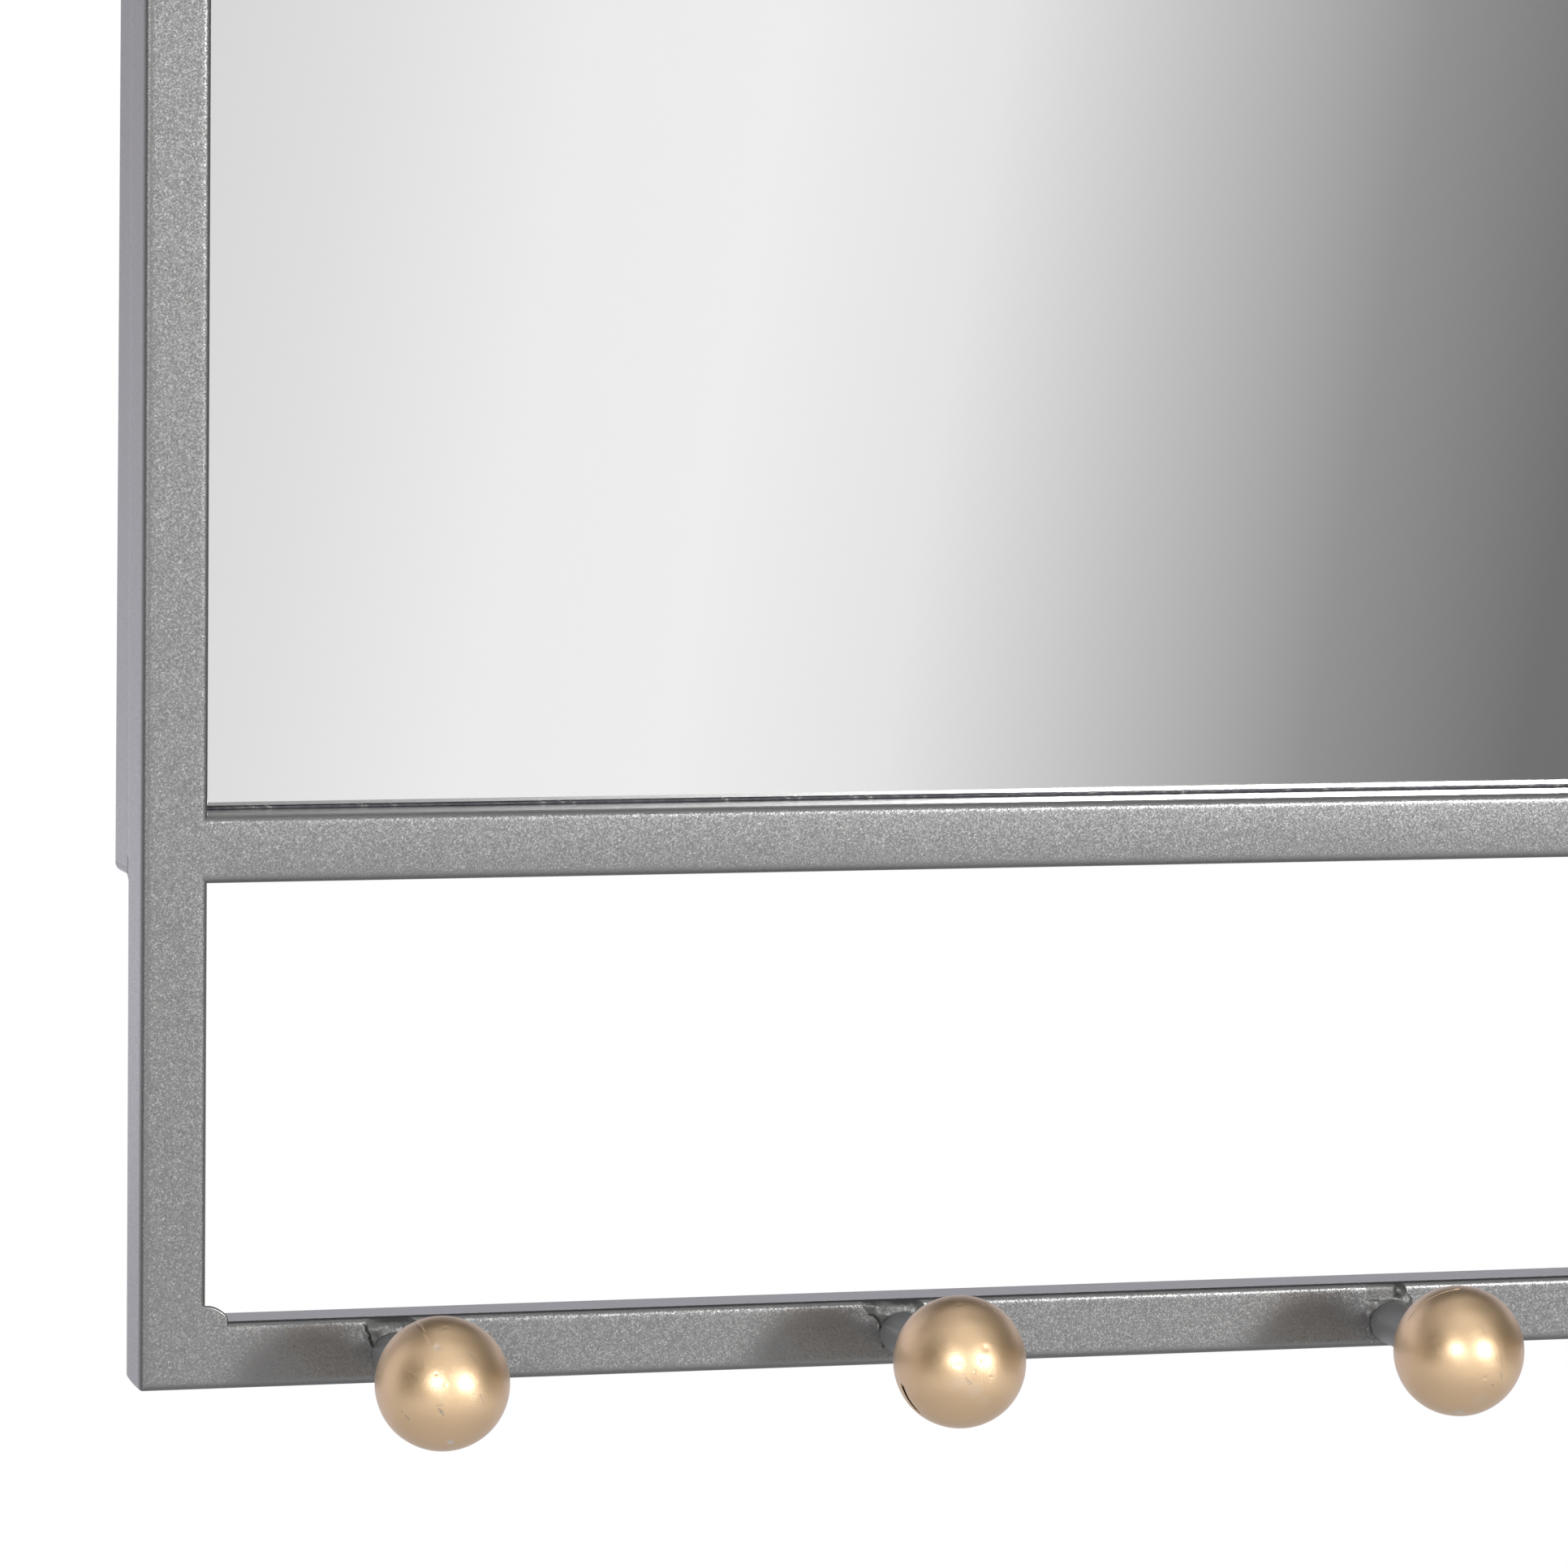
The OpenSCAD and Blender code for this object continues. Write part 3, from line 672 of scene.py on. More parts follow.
make_tube("left_stile", (LEFT, FRONT, BOTTOM), Z, X, HEIGHT, True, front_grind)
make_tube("right_stile", (-LEFT, FRONT, BOTTOM), Z, BACKWARD_X, HEIGHT, True, front_grind)
make_tube("bottom_rail", (LEFT, FRONT, BOTTOM), X, Z, WIDTH, True, front_grind)
make_tube("top_rail", (LEFT, FRONT, TOP), X, DOWN, WIDTH, True, front_grind)
make_tube("cross_rail", (LEFT + TUBE - INTO_STILE, FRONT, CROSS), X, Z,
          WIDTH - 2 * TUBE + 2 * INTO_STILE, False, None)
make_tube("rear_left_post", (LEFT, SEAM, CROSS), Z, X, TOP - CROSS, True, rear_grind)
make_tube("rear_right_post", (-LEFT, SEAM, CROSS), Z, BACKWARD_X, TOP - CROSS, True, rear_grind)
make_tube("rear_bottom_rail", (LEFT, SEAM, CROSS), X, Z, WIDTH, True, rear_grind)
make_tube("rear_top_rail", (LEFT, SEAM, TOP), X, DOWN, WIDTH, True, rear_grind)

# %% [markdown]
# ## Filled seams
# Where the two frames lie against each other their round edges would leave a groove. On
# the real mirror it is filled and ground flush, so only a faint line shows at the side,
# and the ledge in front of the glass is flat. A strip with a shallow dip in its middle,
# carried round each rectangle, gives that.

# %% Carry a strip of filler round the frame and round the opening
STRIP_ACROSS = np.array([-2.6, -1.5, -0.5, 0.0, 0.5, 1.5, 2.6, 0.0]) * MM
STRIP_SUNK = np.array([0.03, 0.03, 0.035, 0.055, 0.035, 0.03, 0.03, 1.25]) * MM
FILLER_GRIND = 3.9 * MM


def filler_ring(name, low_x, low_z, high_x, high_z, inward):
    """A strip round a rectangle at the seam. Its profile runs from one flat to the other
    with a shallow dip, and back through a point inside the tubes. inward is 1 where the
    tubes lie inside the rectangle and -1 where they lie outside it."""
    corners = np.array([(low_x, low_z), (high_x, low_z), (high_x, high_z), (low_x, high_z)])
    into = np.array([(1, 1), (-1, 1), (-1, -1), (1, -1)]) * inward
    rows = []
    for k in range(4):
        here, there = corners[k], corners[(k + 1) % 4]
        share = stations(np.abs(there - here).max())[:-1]
        line = here + (there - here) * share[:, None]
        lean = into[k] + (into[(k + 1) % 4] - into[k]) * share[:, None]
        x = line[:, 0:1] + lean[:, 0:1] * STRIP_SUNK
        z = line[:, 1:2] + lean[:, 1:2] * STRIP_SUNK
        rows.append(np.stack([x, np.broadcast_to(SEAM + STRIP_ACROSS, x.shape), z], -1))
    points = np.concatenate(rows)
    if inward > 0:
        grind_frame(points, low_z, SEAM, FILLER_GRIND, FILLER_GRIND)
        set_in(points)
    return make_piece(name, points.reshape(-1, 3), grid_cells(*points.shape[:2], True, True),
                      pewter, slot="pewter_paint")


filler_ring("outer_seam_filler", LEFT, CROSS + SHOULDER, -LEFT, TOP, 1)
filler_ring("inner_seam_filler", LEFT + TUBE, OPENING, -LEFT - TUBE, OPENING_TOP, -1)

# %% [markdown]
# ## The glass
# The mirror is 4 mm float glass with silver on its back, under a dark protective paint. A
# shiny plane would do for a distant view, but then the frame's reflection starts at the
# glass's face. With clear glass in front of the silver it starts a few millimetres
# behind, as it really does. The sides and the narrow front chamfer are ground dull, which
# makes the pale chipped line along the ledge.

# %% Make the glass and its silver
glass_low, glass_high = (np.array(corner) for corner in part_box("mirror_glass"))
ARRIS = 0.6 * MM
ARRIS_DEPTH = 0.15 * MM
COAT = 0.06 * MM
AIR = 0.03 * MM
GLASS_REST = 0.42 * MM
SET_BACK = 0.8 * MM
GROUND_CELLS = 8
CHIPS_SCALE = 420.0


def plate_grid(low, high, chamfer, slope):
    """A plate as a closed stack of rectangles: small front, full front, full back. Its
    first eight faces are the chamfer and the sides, then come the front and the back."""
    def ring(y, inset):
        return [(low[0] + inset, y, low[2] + inset), (high[0] - inset, y, low[2] + inset),
                (high[0] - inset, y, high[2] - inset), (low[0] + inset, y, high[2] - inset)]
    rings = np.array([ring(low[1], chamfer), ring(low[1] + slope, 0), ring(high[1], 0)])
    cells = grid_cells(3, 4, False, True)
    caps = np.array([[3, 2, 1, 0], [8, 9, 10, 11]])
    return rings.reshape(-1, 3), np.concatenate([cells, caps])


ground_edge, tree, shader, place = new_material("ground_glass_edge", 0.0, 0.6, (0.13, 0.125, 0.14))
chips = add_node(tree, "ShaderNodeTexNoise", Vector=place, Scale=CHIPS_SCALE, Detail=3.0)
chipped = ramp(tree, chips.outputs[0], [(0.4, (0.09, 0.085, 0.10)), (0.62, (0.16, 0.155, 0.17)),
                                        (0.72, 0.6)])
tree.links.new(chipped, shader.inputs["Base Color"])
glass_low[2] -= GLASS_REST
glass_low[1] += SET_BACK
glass_back = glass_high - (0, COAT + AIR, 0)
sheet_points, sheet_cells = plate_grid(glass_low, glass_back, ARRIS, ARRIS_DEPTH)
sheet = make_piece("glass_sheet", sheet_points, sheet_cells, [clear_glass, ground_edge],
                   slot="silvered_glass", stands_for=["mirror_glass"], sharp=4)
sheet.data.polygons.foreach_set(
    "material_index", [1] * GROUND_CELLS + [0] * (len(sheet_cells) - GROUND_CELLS))
coat_low = np.array([glass_low[0], glass_high[1] - COAT, glass_low[2]])
coat_points, coat_cells = plate_grid(coat_low, glass_high, 0.0, 0.0)
coat = make_piece("silver_coat", coat_points[4:],
                  np.concatenate([coat_cells[4:8] - 4, [[3, 2, 1, 0], [4, 5, 6, 7]]]),
                  [silver, back_paint], slot="silvered_glass", sharp=20)
facing = np.empty(3 * len(coat.data.polygons))
coat.data.polygons.foreach_get("normal", facing)
coat.data.polygons.foreach_set("material_index", (facing[1::3] > -0.5).astype(int))

# %% [markdown]
# ## The balls
# Each ball is two pressed half shells, welded together, dressed with a file and sprayed.
# A turned sphere would look too good. The skins below are spheres whose radius is lowered
# by marks: dents, pits, file strokes and the places where the seam wasn't filled. Each
# mark has a direction (azimuth from straight in front, and rise) and sizes in
# millimetres. The fourth ball has marks of the same kinds, since no picture shows it.

# %% Read the balls' places and describe their marks
front_boxes = {number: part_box(f"ball_{number}_front") for number in HOOKS}
BALL_RADIUS = (front_boxes[1][1].x - front_boxes[1][0].x) / 2
ball_centres = {number: np.array([(low.x + high.x) / 2, low.y + BALL_RADIUS, (low.z + high.z) / 2])
                for number, (low, high) in front_boxes.items()}
PEG_RADIUS = (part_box("peg_1")[1].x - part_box("peg_1")[0].x) / 2
BALL_WALL = 1.5 * MM
print("ball radius", round(BALL_RADIUS, 5), "peg radius", round(PEG_RADIUS, 5))

# azimuth, rise, radius in mm, depth in mm
DENTS = {
    1: [(-20, 17, 0.42, 0.099), (-12, 8, 0.5, 0.099), (-9, 64, 0.55, 0.11), (-46, 20, 3, 0.07),
        (-21, 41, 0.9, 0.132), (42, 39, 2.4, 0.05), (-17, -16, 1, 0.048), (30, -40, 2.5, 0.03),
        (-3, -51, 1.3, 0.11)],
    2: [(6, 20, 1.1, 0.132), (0, 9, 0.45, 0.132), (10, -5, 0.45, 0.11), (-5, 1, 0.4, 0.055),
        (-21, 67, 0.5, 0.11), (44, 65, 0.6, 0.121), (51, 55, 0.5, 0.11), (-19, 6, 1.2, 0.088),
        (-40, 24, 3, 0.07), (-58, 30, 2.2, 0.05)],
    3: [(-57, 12, 3.2, 0.1), (4, -16, 0.6, 0.11), (5, -29, 0.5, 0.077), (23, -17, 0.5, 0.088),
        (4, 27, 1.8, 0.035), (-48, 22, 3, 0.06), (40, 20, 2.2, 0.04)],
    4: [(-15, 22, 0.6, 0.11), (12, -9, 0.5, 0.099), (30, 50, 0.6, 0.11), (-50, 12, 2.6, 0.05),
        (48, -24, 0.6, 0.099)],
}
# start azimuth and rise, end azimuth and rise, half width and depth in mm, bare share
STROKES = {
    1: [(-112, 66, -25, 41, 0.24, 0.170, 0.0), (-112, 64, -29, 40, 0.5, -0.035, 0.0),
        (-18, -12, -14, -16, 0.16, 0.03, 0.8), (-17, -14, -13, -19, 0.20, 0.03, 0.9),
        (-20, -10, -14, -9, 0.22, 0.02, 0.45), (-54, -17, -52, -18, 0.18, 0.03, 0.8),
        (-50, -20, -46, -25, 0.20, 0.03, 0.8), (19, -1, 25, -11, 0.14, 0.03, 0.55),
        (13, 35, 19, 26, 0.14, 0.03, 0.35), (17, 32, 20, 26, 0.12, 0.02, 0.3)],
    2: [(-13, -5, -7, -11, 0.2, 0.030, 0.5), (-12, -8, -8, -12, 0.22, 0.025, 0.4),
        (2, -3, 5, -16, 0.14, 0.020, 0.15), (-5, -3, -4, 1, 0.25, 0.02, 0.35)],
    3: [(19, 5, 20, -7, 0.15, 0.020, 0.35), (20, -12, 23, -20, 0.16, 0.030, 0.6),
        (3, 22, 3, 30, 0.14, 0.02, 0.3), (12, -22, 14, -25, 0.18, 0.02, 0.6)],
    4: [(20, 12, 26, -4, 0.16, 0.030, 0.5), (-30, -12, -26, -18, 0.16, 0.030, 0.6)],
}
# spots where the paint is thin and pale: azimuth, rise, radius in mm, share
PALE_SPOTS = {
    1: [(-3, -51, 1.0, 0.9), (-21, 41, 1.2, 0.35)],
    2: [(-4, -17, 2.4, 0.20), (-18, -9, 2.6, 0.14), (7, -27, 1.6, 0.14)],
    3: [(-19, -61, 1.5, 0.6), (4, -40, 2.4, 0.15)],
    4: [(14, -44, 1.1, 0.6), (-16, -20, 2.2, 0.2)],
}
# open stretches of the seam: polar angle at the first and the last turn, the two turns
# round the front-to-back axis, half width and depth in mm
SEAM_GAPS = {
    1: [(90, 90, 60, 100, 0.10, 0.05)],
    2: [(83.6, 83.6, 196, 229, 0.95, 1.45), (91, 92, 60, 88, 0.22, 0.35),
        (90, 90, 100, 190, 0.10, 0.05)],
    3: [(79, 87, 92, 152, 0.16, 0.16), (80, 81, 94, 99, 0.26, 0.60),
        (81, 80, 103, 107, 0.26, 0.60)],
    4: [(90, 90, 100, 170, 0.12, 0.08)],
}

# %% Turn the marks into depths and shares
UNDERSIZE, UNDERSIZE_SWAY, LEAST_UNDERSIZE = 0.04 * MM, 0.9, 0.006 * MM
SWAY_WAVE = 19 * MM
# a stroke runs past both ends by a share of its length and fades over another
STROKE_END, STROKE_FADE = 0.04, 0.12
PALE_POWER, PALE_UNEVEN, PALE_WAVE = 3.5, 0.15, 3.2 * MM
GAP_POWER, GAP_NARROWING, LEAST_WIDTH = 6, 9, 0.05


def direction_of(azimuth, rise):
    """Unit vector of an azimuth (from straight in front to the right) and a rise."""
    a, e = math.radians(azimuth), math.radians(rise)
    return np.array([math.sin(a) * math.cos(e), -math.cos(a) * math.cos(e), math.sin(e)])


def from_spot(away, azimuth, rise, radius):
    """Distance of each direction on the ball from a spot, in radii of the spot (in mm)."""
    gap = np.linalg.norm(away - direction_of(azimuth, rise), axis=-1)
    return gap * BALL_RADIUS / (radius * MM)


def stroke_cover(away, stroke):
    """1 on the line of a file stroke, falling to 0 beside it: exp(-(distance / half width)^2),
    measured from the great circle through both ends."""
    start, end = direction_of(*stroke[:2]), direction_of(*stroke[2:4])
    across = np.cross(start, end)
    across /= np.linalg.norm(across)
    onward = np.cross(across, start)
    whole = math.atan2(end @ onward, end @ start)
    place_on = np.arctan2(away @ onward, away @ start) / whole
    off = (away @ across) * BALL_RADIUS / (stroke[4] * MM)
    fade_in = np.clip((place_on + STROKE_END) / STROKE_FADE, 0, 1)
    fade_out = np.clip((1 + STROKE_END - place_on) / STROKE_FADE, 0, 1)
    return np.exp(-off ** 2) * fade_in * fade_out


def bare_metal(number, away):
    """Share of each point where a stroke went through the paint."""
    total = np.zeros(away.shape[:-1])
    for stroke in STROKES[number]:
        total = np.maximum(total, stroke[6] * stroke_cover(away, stroke))
    return total


def pale_paint(number, away):
    """Share of each point where the paint is pale: share * exp(-(distance * uneven)^3.5),
    with the distance in radii of the spot and an uneven factor for a wavy outline."""
    total = np.zeros(away.shape[:-1])
    uneven = 1 + PALE_UNEVEN * smooth_noise(away * BALL_RADIUS, PALE_WAVE, 70 + number)
    for azimuth, rise, radius, share in PALE_SPOTS[number]:
        gap = from_spot(away, azimuth, rise, radius)
        total = np.maximum(total, share * np.exp(-(gap * uneven) ** PALE_POWER))
    return total


def seam_depth(number, away):
    """How deep the open stretches of the seam are at each direction, in metres: the depth
    times exp(-(distance from the line / half width)^6), narrowing towards both ends."""
    deep = np.zeros(away.shape[:-1])
    polar = np.degrees(np.arccos(np.clip(-away[..., 1], -1, 1)))
    turn = np.degrees(np.arctan2(away[..., 2], away[..., 0])) % 360
    for first, last, turn_a, turn_b, half_width, depth in SEAM_GAPS[number]:
        share = (turn - turn_a) / (turn_b - turn_a)
        line = first + (last - first) * np.clip(share, 0, 1)
        off = np.radians(polar - line) * BALL_RADIUS / (half_width * MM)
        ends = np.clip(np.minimum(share, 1 - share) * GAP_NARROWING, 0, 1)
        taper = np.sqrt(ends * ends * (3 - 2 * ends))
        width = np.maximum(taper, LEAST_WIDTH)
        deep += depth * MM * np.exp(-(off / width) ** GAP_POWER) * taper
    return deep


def sunken(number, away):
    """How far the paint lies under the full ball at each direction, in metres: a slow sway,
    a bell for each dent, the strokes and the open seam."""
    sway = smooth_noise(away * BALL_RADIUS, SWAY_WAVE, 40 + number)
    deep = UNDERSIZE * (1 + UNDERSIZE_SWAY * sway) + LEAST_UNDERSIZE
    for azimuth, rise, radius, depth in DENTS[number]:
        deep += depth * MM * np.exp(-from_spot(away, azimuth, rise, radius) ** 2)
    for stroke in STROKES[number]:
        deep += stroke[5] * MM * stroke_cover(away, stroke)
    return np.maximum(deep + seam_depth(number, away), 0.0)


straight_ahead = direction_of(0, 0)
print("in front the paint lies under the full ball by, in mm:",
      {number: round(float(sunken(number, straight_ahead)) / MM, 3) for number in HOOKS})

# %% Make the half shells
COLUMNS = 360
around_ball = np.linspace(0, TURN, COLUMNS, endpoint=False)
POLE_LIFT = 0.00085 * MM
PAINT_REACH = 1.2 * MM
# seam depths where the painted shade inside an open seam starts and where it is full
SEAM_SHADE_FROM, SEAM_SHADE_FADE = 0.18 * MM, 0.1 * MM
PEG_ROOM = 0.15 * MM


def shell_rings(number, polars, inside=False):
    """Rings of points on a ball, one for each polar angle in degrees from its front pole."""
    polar = np.radians(polars)[:, None]
    away = np.stack([np.sin(polar) * np.cos(around_ball), -np.cos(polar) + 0 * around_ball,
                     np.sin(polar) * np.sin(around_ball)], -1)
    if inside:
        return ball_centres[number] + away * (BALL_RADIUS - BALL_WALL)
    return ball_centres[number] + away * (BALL_RADIUS - sunken(number, away))[..., None]


def mark_paint(piece, number):
    """Stores on each point of a skin how much bare metal, pale paint or painted seam shade shows
    there. The painted shade starts where the seam is 0.18 mm deep and is full 0.1 mm deeper."""
    count = len(piece.data.vertices)
    places = np.empty(count * 3)
    piece.data.vertices.foreach_get("co", places)
    away = places.reshape(-1, 3) - ball_centres[number]
    far = np.linalg.norm(away, axis=-1)
    away = away / far[:, None]
    outside = far > BALL_RADIUS - PAINT_REACH
    open_seam = (seam_depth(number, away) - SEAM_SHADE_FROM) / SEAM_SHADE_FADE
    for name, share in (("bare", bare_metal(number, away) * outside),
                        ("pale", pale_paint(number, away) * outside),
                        ("seam_shade", np.clip(open_seam, 0, 1))):
        piece.data.attributes.new(name, "FLOAT", "POINT").data.foreach_set("value", share)


def hole_angle(radius):
    """Polar angle in degrees at which a sphere of that radius meets the peg's hole:
    180 - asin(radius of the hole / radius)."""
    return 180 - math.degrees(math.asin((PEG_RADIUS + PEG_ROOM) / radius))


def half_shells(number):
    """The front shell from pole to pole of its wall, and the back shell round the peg. The
    rings stand 0.8 degrees apart, and closer near the seam, where the open places are."""
    fine = np.arange(78, 90.01, 0.3)
    outer = shell_rings(number, np.concatenate([np.arange(0.8, 78, 0.8), fine]))
    inner = shell_rings(number, np.linspace(90, 6, 9), inside=True)
    rings = np.concatenate([outer, inner])
    front_pole = outer[0].mean(0) - (0, POLE_LIFT, 0)
    inner_pole = ball_centres[number] - (0, BALL_RADIUS - BALL_WALL, 0)
    points = np.concatenate([[front_pole], rings.reshape(-1, 3), [inner_pole]])
    front = make_piece(f"ball_{number}_front_skin", points, ring_cells(len(rings), COLUMNS), gold,
                       slot="gold_paint", stands_for=[f"ball_{number}_front"], sharp=40)
    mark_paint(front, number)
    coarse = np.linspace(100, hole_angle(BALL_RADIUS), 60)
    outer = shell_rings(number, np.concatenate([np.arange(90, 100, 0.4), coarse]))
    inner_hole = hole_angle(BALL_RADIUS - BALL_WALL)
    inner = shell_rings(number, np.linspace(inner_hole, 90, 9), inside=True)
    rings = np.concatenate([outer, inner])
    make_piece(f"ball_{number}_back_skin", rings.reshape(-1, 3), ring_cells(len(rings), COLUMNS, True),
               gold, slot="gold_paint", stands_for=[f"ball_{number}_back"], sharp=40)


for number in HOOKS:
    half_shells(number)

# %% [markdown]
# ## Pegs and their welds
# A peg is a round bar. Where it leaves the rail, weld metal was laid over it up to the
# rail's top edge and painted over, in one lumpy mass with a crack-like edge. That mass is
# a height over the rail's face: a sum of soft heaps, lowered until only the heaps stand
# out. Cracks and pinholes are stored on its points, and the paint blackens them there as
# painted shade. A few drops of spatter lie beside each weld, and where a peg enters its
# ball there is a rippled bead all round.

# %% Turn the pegs
# pinhole on a peg: turn in degrees, distance in front of the rail and radius in mm
PINHOLES = {3: (165, 3.8, 0.55)}
RIM_HEIGHT, RIM_AT, RIM_WIDTH, HOLE_DEPTH = 0.14 * MM, 1.35, 0.4, 0.5 * MM
peg_turns = np.linspace(0, TURN, 160, endpoint=False)
PEG_UNDERSIZE, PEG_END, FINE_ROOT = 0.05 * MM, 0.01 * MM, 7 * MM
SWELL, SWELL_WAVE = 0.006, 11 * MM


def store_painted_shade(piece, painted_shade):
    """Stores one value per point: the share of painted shade that the flake paint blackens."""
    piece.data.attributes.new("painted_shade", "FLOAT", "POINT").data.foreach_set("value", painted_shade)


def make_peg(number):
    """A slightly uneven bar from the rail's face into its ball, with bevelled ends. Round a
    pinhole, gap counts the hole's radii: it sinks by exp(-gap^4) inside a small raised rim."""
    low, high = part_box(f"peg_{number}")
    x, z = (low.x + high.x) / 2, (low.z + high.z) / 2
    depth = np.concatenate([
        [high.y - PEG_END], np.arange(high.y - 0.4 * MM, FRONT - FINE_ROOT, -0.25 * MM),
        np.linspace(FRONT - FINE_ROOT, low.y + 0.5 * MM, 40), [low.y + PEG_END]])
    radius = np.full((len(depth), len(peg_turns)), PEG_RADIUS - PEG_UNDERSIZE)
    painted_shade = np.zeros(radius.shape)
    if number in PINHOLES:
        turn, ahead, wide = PINHOLES[number]
        off_turn = (peg_turns - math.radians(turn)) * PEG_RADIUS / MM
        gap = np.hypot(off_turn[None, :], (FRONT - depth[:, None]) / MM - ahead) / wide
        # painted shade: the same share that sinks the pinhole also blackens it
        painted_shade = np.exp(-gap ** 4)
        radius += RIM_HEIGHT * np.exp(-((gap - RIM_AT) / RIM_WIDTH) ** 2) - HOLE_DEPTH * painted_shade
    radius[0] -= 0.3 * MM
    radius[-1] -= 0.4 * MM
    grid = np.stack([radius * np.cos(peg_turns), depth[:, None] + 0 * peg_turns,
                     radius * np.sin(peg_turns)], -1)
    swell = 1 + SWELL * smooth_noise(grid + number, SWELL_WAVE, number)
    grid[..., 0] = x + grid[..., 0] * swell
    grid[..., 2] = z + grid[..., 2] * swell
    points = np.concatenate([[(x, high.y, z)], grid.reshape(-1, 3), [(x, low.y, z)]])
    peg = make_piece(f"peg_{number}_skin", points, ring_cells(len(grid), len(peg_turns)),
                     pewter_smooth, slot="pewter_paint", stands_for=[f"peg_{number}"])
    store_painted_shade(peg, np.concatenate([[0.0], painted_shade.ravel(), [0.0]]))
    return x, z


peg_places = {number: make_peg(number) for number in HOOKS}

# %% Describe the root welds
# heaps: across and up from the peg's axis, radius and height, all in mm
HEAPS = {
    1: [(-6.9, 6.6, 2.1, 1.1), (-4.6, 7.2, 2.4, 1.5), (-2.0, 7.6, 2.2, 1.7), (0.6, 7.9, 2.1, 1.5),
        (3.0, 7.4, 2.4, 1.8), (5.6, 7.0, 2.0, 1.2), (-5.9, 3.4, 1.4, 0.8), (6.2, 3.6, 1.6, 0.8)],
    2: [(-9.8, 8.6, 1.6, 1.3), (-7.4, 7.0, 2.0, 1.3), (-5.6, 5.0, 1.6, 1.2), (-3.4, 7.2, 2.1, 1.5),
        (-0.6, 8.0, 2.0, 1.5), (2.4, 7.6, 2.2, 1.7), (5.0, 6.4, 2.0, 1.3), (-6.3, 1.8, 1.0, 0.6)],
    3: [(-6.0, 9.4, 2.2, 1.0), (-3.6, 9.8, 2.4, 1.2), (-0.8, 9.8, 2.2, 1.2), (2.4, 9.4, 1.7, 1.8),
        (4.8, 6.4, 1.7, 1.0), (-5.6, 5.4, 1.8, 1.2), (-6.5, 2.4, 1.2, 0.8), (-6.4, -1.8, 1.0, 0.7)],
    4: [(-7.2, 7.0, 2.0, 1.2), (-4.4, 7.4, 2.2, 1.5), (-1.4, 7.9, 2.2, 1.6), (1.6, 7.7, 2.1, 1.5),
        (4.5, 7.1, 2.2, 1.5), (-6.2, 3.2, 1.4, 0.8)],
}
# spatter: across and up from the peg's axis, radius in mm
SPATTER = {1: [(-4.3, -5.3, 0.55), (-5.2, 0.6, 0.28)], 2: [(-5.2, -2.0, 0.6), (-5.7, 2.4, 0.3)],
           3: [(-5.6, -5.4, 0.6), (-6.9, 4.4, 0.35)], 4: [(-5.5, -3.0, 0.5)]}
# the crack along a weld's left edge: points across and up from the peg's axis, in mm
CRACKS = {
    1: [(-8.3, 8.4), (-8.0, 6.8), (-7.0, 5.4), (-6.9, 4.2), (-5.9, 2.2), (-5.6, 0.2), (-4.7, -3.4)],
    2: [(-9.6, 5.7), (-8.3, 5.3), (-7.2, 4.3), (-6.2, 2.9), (-5.7, 1.0), (-5.8, -1.4), (-5.2, -3.9)],
    4: [(-8.9, 7.6), (-8.0, 5.9), (-6.8, 4.4), (-6.1, 2.4), (-5.8, -0.6)],
}
print("heaps of weld", {number: len(heaps) for number, heaps in HEAPS.items()})

# %% Lay the root welds
# in mm: how far all is lowered, the grid's step, its ends beside the peg and below it, and
# the distance it keeps from the rail's lower and upper edge
LAY, WELD_STEP = 0.32, 0.16
WELD_LEFT, WELD_RIGHT, WELD_LOWEST = -13, 11.01, -8.2
OVER_UNDERSIDE, UNDER_TOP = 1.3, 0.12
HEAP_HEIGHT, HEAP_WIDTH, HEAP_POWER = 0.72, 1.15, 1.3
FILLET, FILLET_REACH, FILLET_FROM, FILLET_EASE = 1.2, 0.9, 1.5, 4
LUMPS, LUMP_WAVE, LUMPS_ABOVE = 0.08, 2.6, -0.2
# in mm: the crack's depth, width and reach, and the width of the painted shade along it
CRACK_DEPTH, CRACK_WIDTH, CRACK_REACH, CRACK_SHADE_WIDTH = 0.5, 0.3, 1.0, 0.28
LIP, LIP_FALL = 0.09, 0.2
# the third weld was filed down at its upper left: where that starts, its easing and level
DRESSED, DRESSED_ABOVE, DRESSED_LEFT_OF = 3, 6.4, 1.4
EASE_UP, EASE_LEFT, DRESSED_LEVEL, DRESSED_LEAN = 0.8, 0.9, 0.30, 0.04
LEAST_HEIGHT, MOST_HEIGHT = -0.5, 3.0
EDGE_RUN, EDGE_POWER = 1.4, 0.6
WELD_BACK, LEAST_THICK = 1.5 * MM, 0.05 * MM


def from_crack(number, u, w):
    """Distance from the nearest stretch of a weld's crack, in mm; large where it has none."""
    nearest = np.full(u.shape, 99.0)
    bends = CRACKS.get(number, [])
    for (u1, w1), (u2, w2) in zip(bends[:-1], bends[1:]):
        du, dw = u2 - u1, w2 - w1
        share = np.clip(((u - u1) * du + (w - w1) * dw) / (du * du + dw * dw), 0, 1)
        nearest = np.minimum(nearest, np.hypot(u - u1 - share * du, w - w1 - share * dw))
    return nearest


